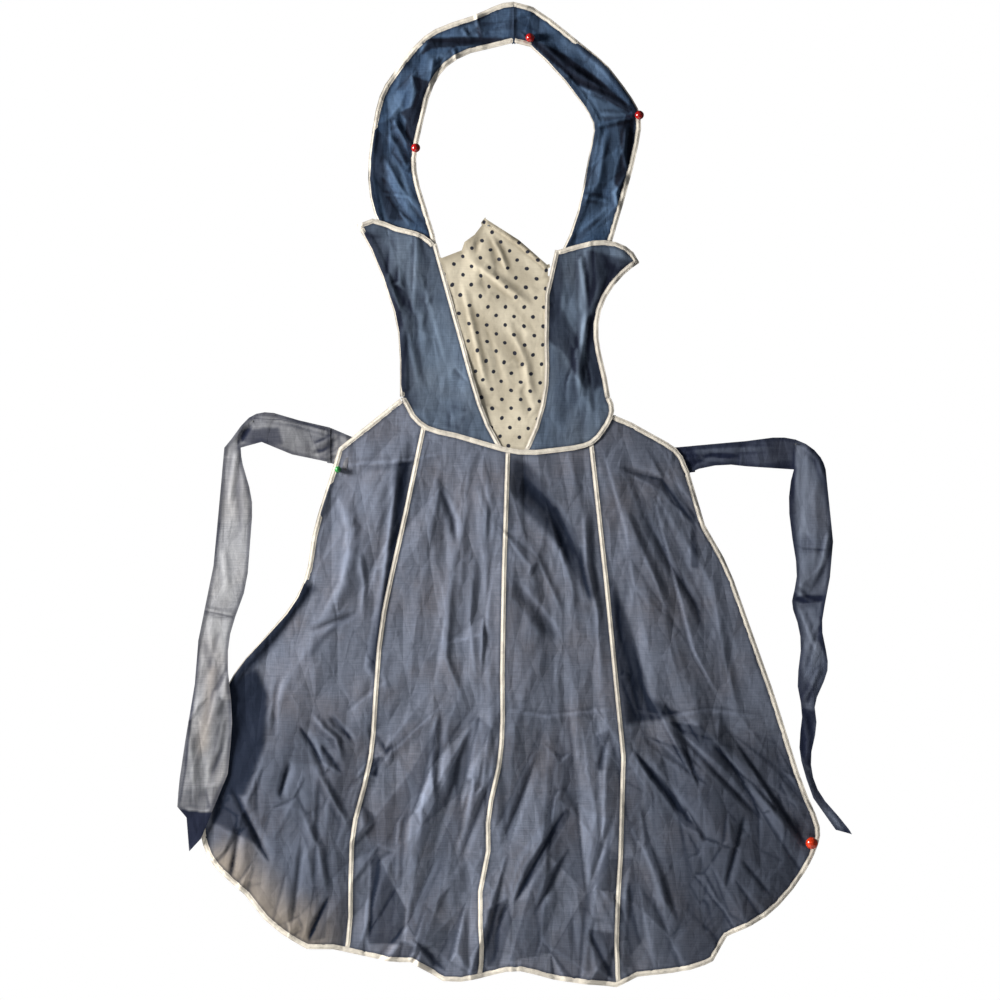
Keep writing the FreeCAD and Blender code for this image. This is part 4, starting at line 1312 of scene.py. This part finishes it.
made = cloth("bib_inset", ["bib_inset", "yoke_point_inset"], INSET, BIB_LEVEL - 0.3 * MM, STRAP_NET,
             CLOTH_THICK, DOTTED,
             beside=["inset_piping_left", "inset_piping_right", "inset_hem", "yoke_piping",
                     "inset_piping_end_left", "inset_piping_end_right"])
hang(made)
fasten(cloth("inset_hem", ["inset_hem"], INSET, BIB_LEVEL, HEM_NET, TAPE_THICK, DOTTED,
             shaping=rounded(TAPE_PROUD, 5)), "bib")
fasten(tape("yoke_edge_tape", BIB_EDGES, BIB, BIB_LEVEL + OVER_SEAM, seed=7))

for side, outwards, folds, material in (("left", -1, LEFT_TIE, TIE_CLOTH_LEFT),
                                        ("right", 1, RIGHT_TIE, TIE_CLOTH_RIGHT)):
    root = LEFT_ROOT if side == "left" else RIGHT_ROOT
    turn = LEFT_TURN if side == "left" else RIGHT_TURN

    def tie_level(points, gap, along):
        """The left tail comes forward in front of the skirt, and the right one stays level."""
        if side == "right":
            return 0 * gap
        over = SKIRT.at("height", points) * ramp(points[:, 1], turn - 0.20, turn - 0.26)
        return TAIL_FORWARD * ramp(points[:, 1], turn - 0.10, turn - 0.24) + np.maximum(over, 0)

    def root_level(points, gap, along):
        return -ROOT_BACK + 0 * gap

    made = cloth(side + "_tie_root", [side + "_tie_root"], folds, TIE_LEVEL, TIE_NET,
                 CLOTH_THICK, material, shaping=root_level)
    for corner in made[0].data.vertices:
        if abs(corner.co.x - root) < 0.6 * MM:
            corner.co.x += outwards * ROOT_LAP
    fasten(made, "skirt")
    nodes = [side + "_tie", side + "_tail"]
    made = cloth(side + "_tie", nodes, folds, TIE_LEVEL, TIE_NET, CLOTH_THICK, material,
                 shaping=tie_level)
    hang(made)


# --- pins -----------------------------------------------------------------------------------
def turned(name, profile, x, z, material, slot):
    """A shape turned about a pin's axis, from (forward, radius) pairs."""
    points, faces, around = [], [], AROUND
    for forward, radius in profile:
        for k in range(around):
            angle = 2 * math.pi * k / around
            points.append((x + radius * math.cos(angle), -forward, z + radius * math.sin(angle)))
    for ring in range(len(profile) - 1):
        for k in range(around):
            a, b = ring * around + k, ring * around + (k + 1) % around
            faces.append((a, b, b + around, a + around))
    faces.append(list(range(around))[::-1])
    faces.append([(len(profile) - 1) * around + k for k in range(around)])
    return solid(name, points, faces, material, 50)


def ball_head(pin, material, slot):
    """A moulded ball with its mould line, the mark of the sprue, and a collar at its neck."""
    low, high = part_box(pin + "_head")
    x, z = (low.x + high.x) / 2, (low.z + high.z) / 2
    r = (high.x - low.x) / 2
    middle = -low.y - r
    neck = COLLAR_R
    back = math.asin(min(1.0, neck * 1.9 / r))
    profile = [(0.2 * MM, 0.3 * MM), (0.2 * MM, neck), (middle - r * 1.06, neck),
               (middle - r * 1.03, neck * 1.7), (middle - r * 0.96, neck * 1.9)]
    for k in range(1, BALL_RINGS):
        angle = back + (math.pi - back) * k / BALL_RINGS
        line = 1 + 0.012 * math.exp(-((angle - math.pi / 2) / 0.035) ** 2)
        profile.append((middle - r * math.cos(angle), r * math.sin(angle) * line))
    profile += [(middle + r * 0.985, 0.5 * MM), (middle + r * 0.965, 0.35 * MM)]
    piece = turned(pin + "_head", profile, x, z, material, slot)
    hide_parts(pin + "_head")
    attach(piece, pin)


for pin in BALL_PINS:
    frame["nodes"][pin + "_head"].name = pin + "_head_cad"
for pin, material, slot in (("top_pin", RED, "red_pin_head"), ("left_pin", RED, "red_pin_head"),
                            ("right_pin", RED, "red_pin_head"),
                            ("waist_pin", GREEN, "green_pin_head"),
                            ("hem_pin", ORANGE, "orange_pin_head")):
    ball_head(pin, material, slot)
for node, piece in frame["nodes"].items():
    if node.endswith(("_needle", "_tie_pin")) or node == "inset_pin":
        piece.data.materials.clear()
        piece.data.materials.append(STEEL)


# --- stage, light and camera ----------------------------------------------------------------
def aim(piece, place, target):
    piece.location = place
    piece.rotation_mode = "QUATERNION"
    piece.rotation_quaternion = (Vector(target) - Vector(place)).to_track_quat("-Z", "Y")


low, high = cad_box
middle = (low + high) / 2
turns = [k * math.pi / 48 for k in range(96)]
floor_mesh = bpy.data.meshes.new("floor")
floor_mesh.from_pydata([(FLOOR_R * math.cos(turn), FLOOR_R * math.sin(turn), 0) for turn in turns],
                       [], [list(range(len(turns)))])
floor = bpy.data.objects.new("floor", floor_mesh)
floor.location = (middle.x, 0, low.z - FLOOR_DROP)
scene.collection.objects.link(floor)
pale = Shader("pale_floor")
pale.surface.inputs["Roughness"].default_value = 0.9
pale.put(pale.surface.inputs["Base Color"],
         pale.mix(pale.noise(pale.add("ShaderNodeTexCoord").outputs["Object"], 6.0),
                  rgb(232, 232, 230), rgb(224, 224, 222)))
floor_mesh.materials.append(pale.material)

# The world is white behind the apron, and dim as a light, so that folds keep their shade.
world = bpy.data.worlds.new("studio")
world.use_nodes = True
tree = world.node_tree
tree.nodes.clear()
backdrop = tree.nodes.new("ShaderNodeBackground")
backdrop.inputs["Strength"].default_value = 1.0
backdrop.inputs["Color"].default_value = (1, 1, 1, 1)
ambient = tree.nodes.new("ShaderNodeBackground")
ambient.inputs["Strength"].default_value = AMBIENT
ambient.inputs["Color"].default_value = (0.94, 0.97, 1.0, 1)
chooser = tree.nodes.new("ShaderNodeMixShader")
path = tree.nodes.new("ShaderNodeLightPath")
world_out = tree.nodes.new("ShaderNodeOutputWorld")
tree.links.new(path.outputs["Is Camera Ray"], chooser.inputs[0])
tree.links.new(ambient.outputs[0], chooser.inputs[1])
tree.links.new(backdrop.outputs[0], chooser.inputs[2])
tree.links.new(chooser.outputs[0], world_out.inputs[0])
scene.world = world


def lamp(name, place, size, power, colour):
    data = bpy.data.lights.new(name, "AREA")
    data.size = size
    data.energy = power
    data.color = colour
    piece = bpy.data.objects.new(name, data)
    scene.collection.objects.link(piece)
    aim(piece, place, middle)


lamp("key", (-1.78, -0.58, -0.12), 0.5, 92, (1.0, 0.97, 0.92))
lamp("fill", (-0.8, -4.5, 0.5), 2.5, 9, (0.86, 0.92, 1.0))
lamp("rear", (-1.5, 4.5, 1.2), 2.5, 220, (1.0, 1.0, 1.0))

camera_data = bpy.data.cameras.new("camera")
camera_data.sensor_width = SENSOR
camera_data.lens = SENSOR * CAMERA_BACK / VIEW_WIDE
camera = bpy.data.objects.new("camera", camera_data)
scene.collection.objects.link(camera)
sight = Vector((middle.x - PHOTO_LEFT, 0, middle.z - PHOTO_DOWN))
aim(camera, sight + Vector((0, -CAMERA_BACK, 0)), sight)
scene.camera = camera
scene.view_settings.view_transform = "Standard"
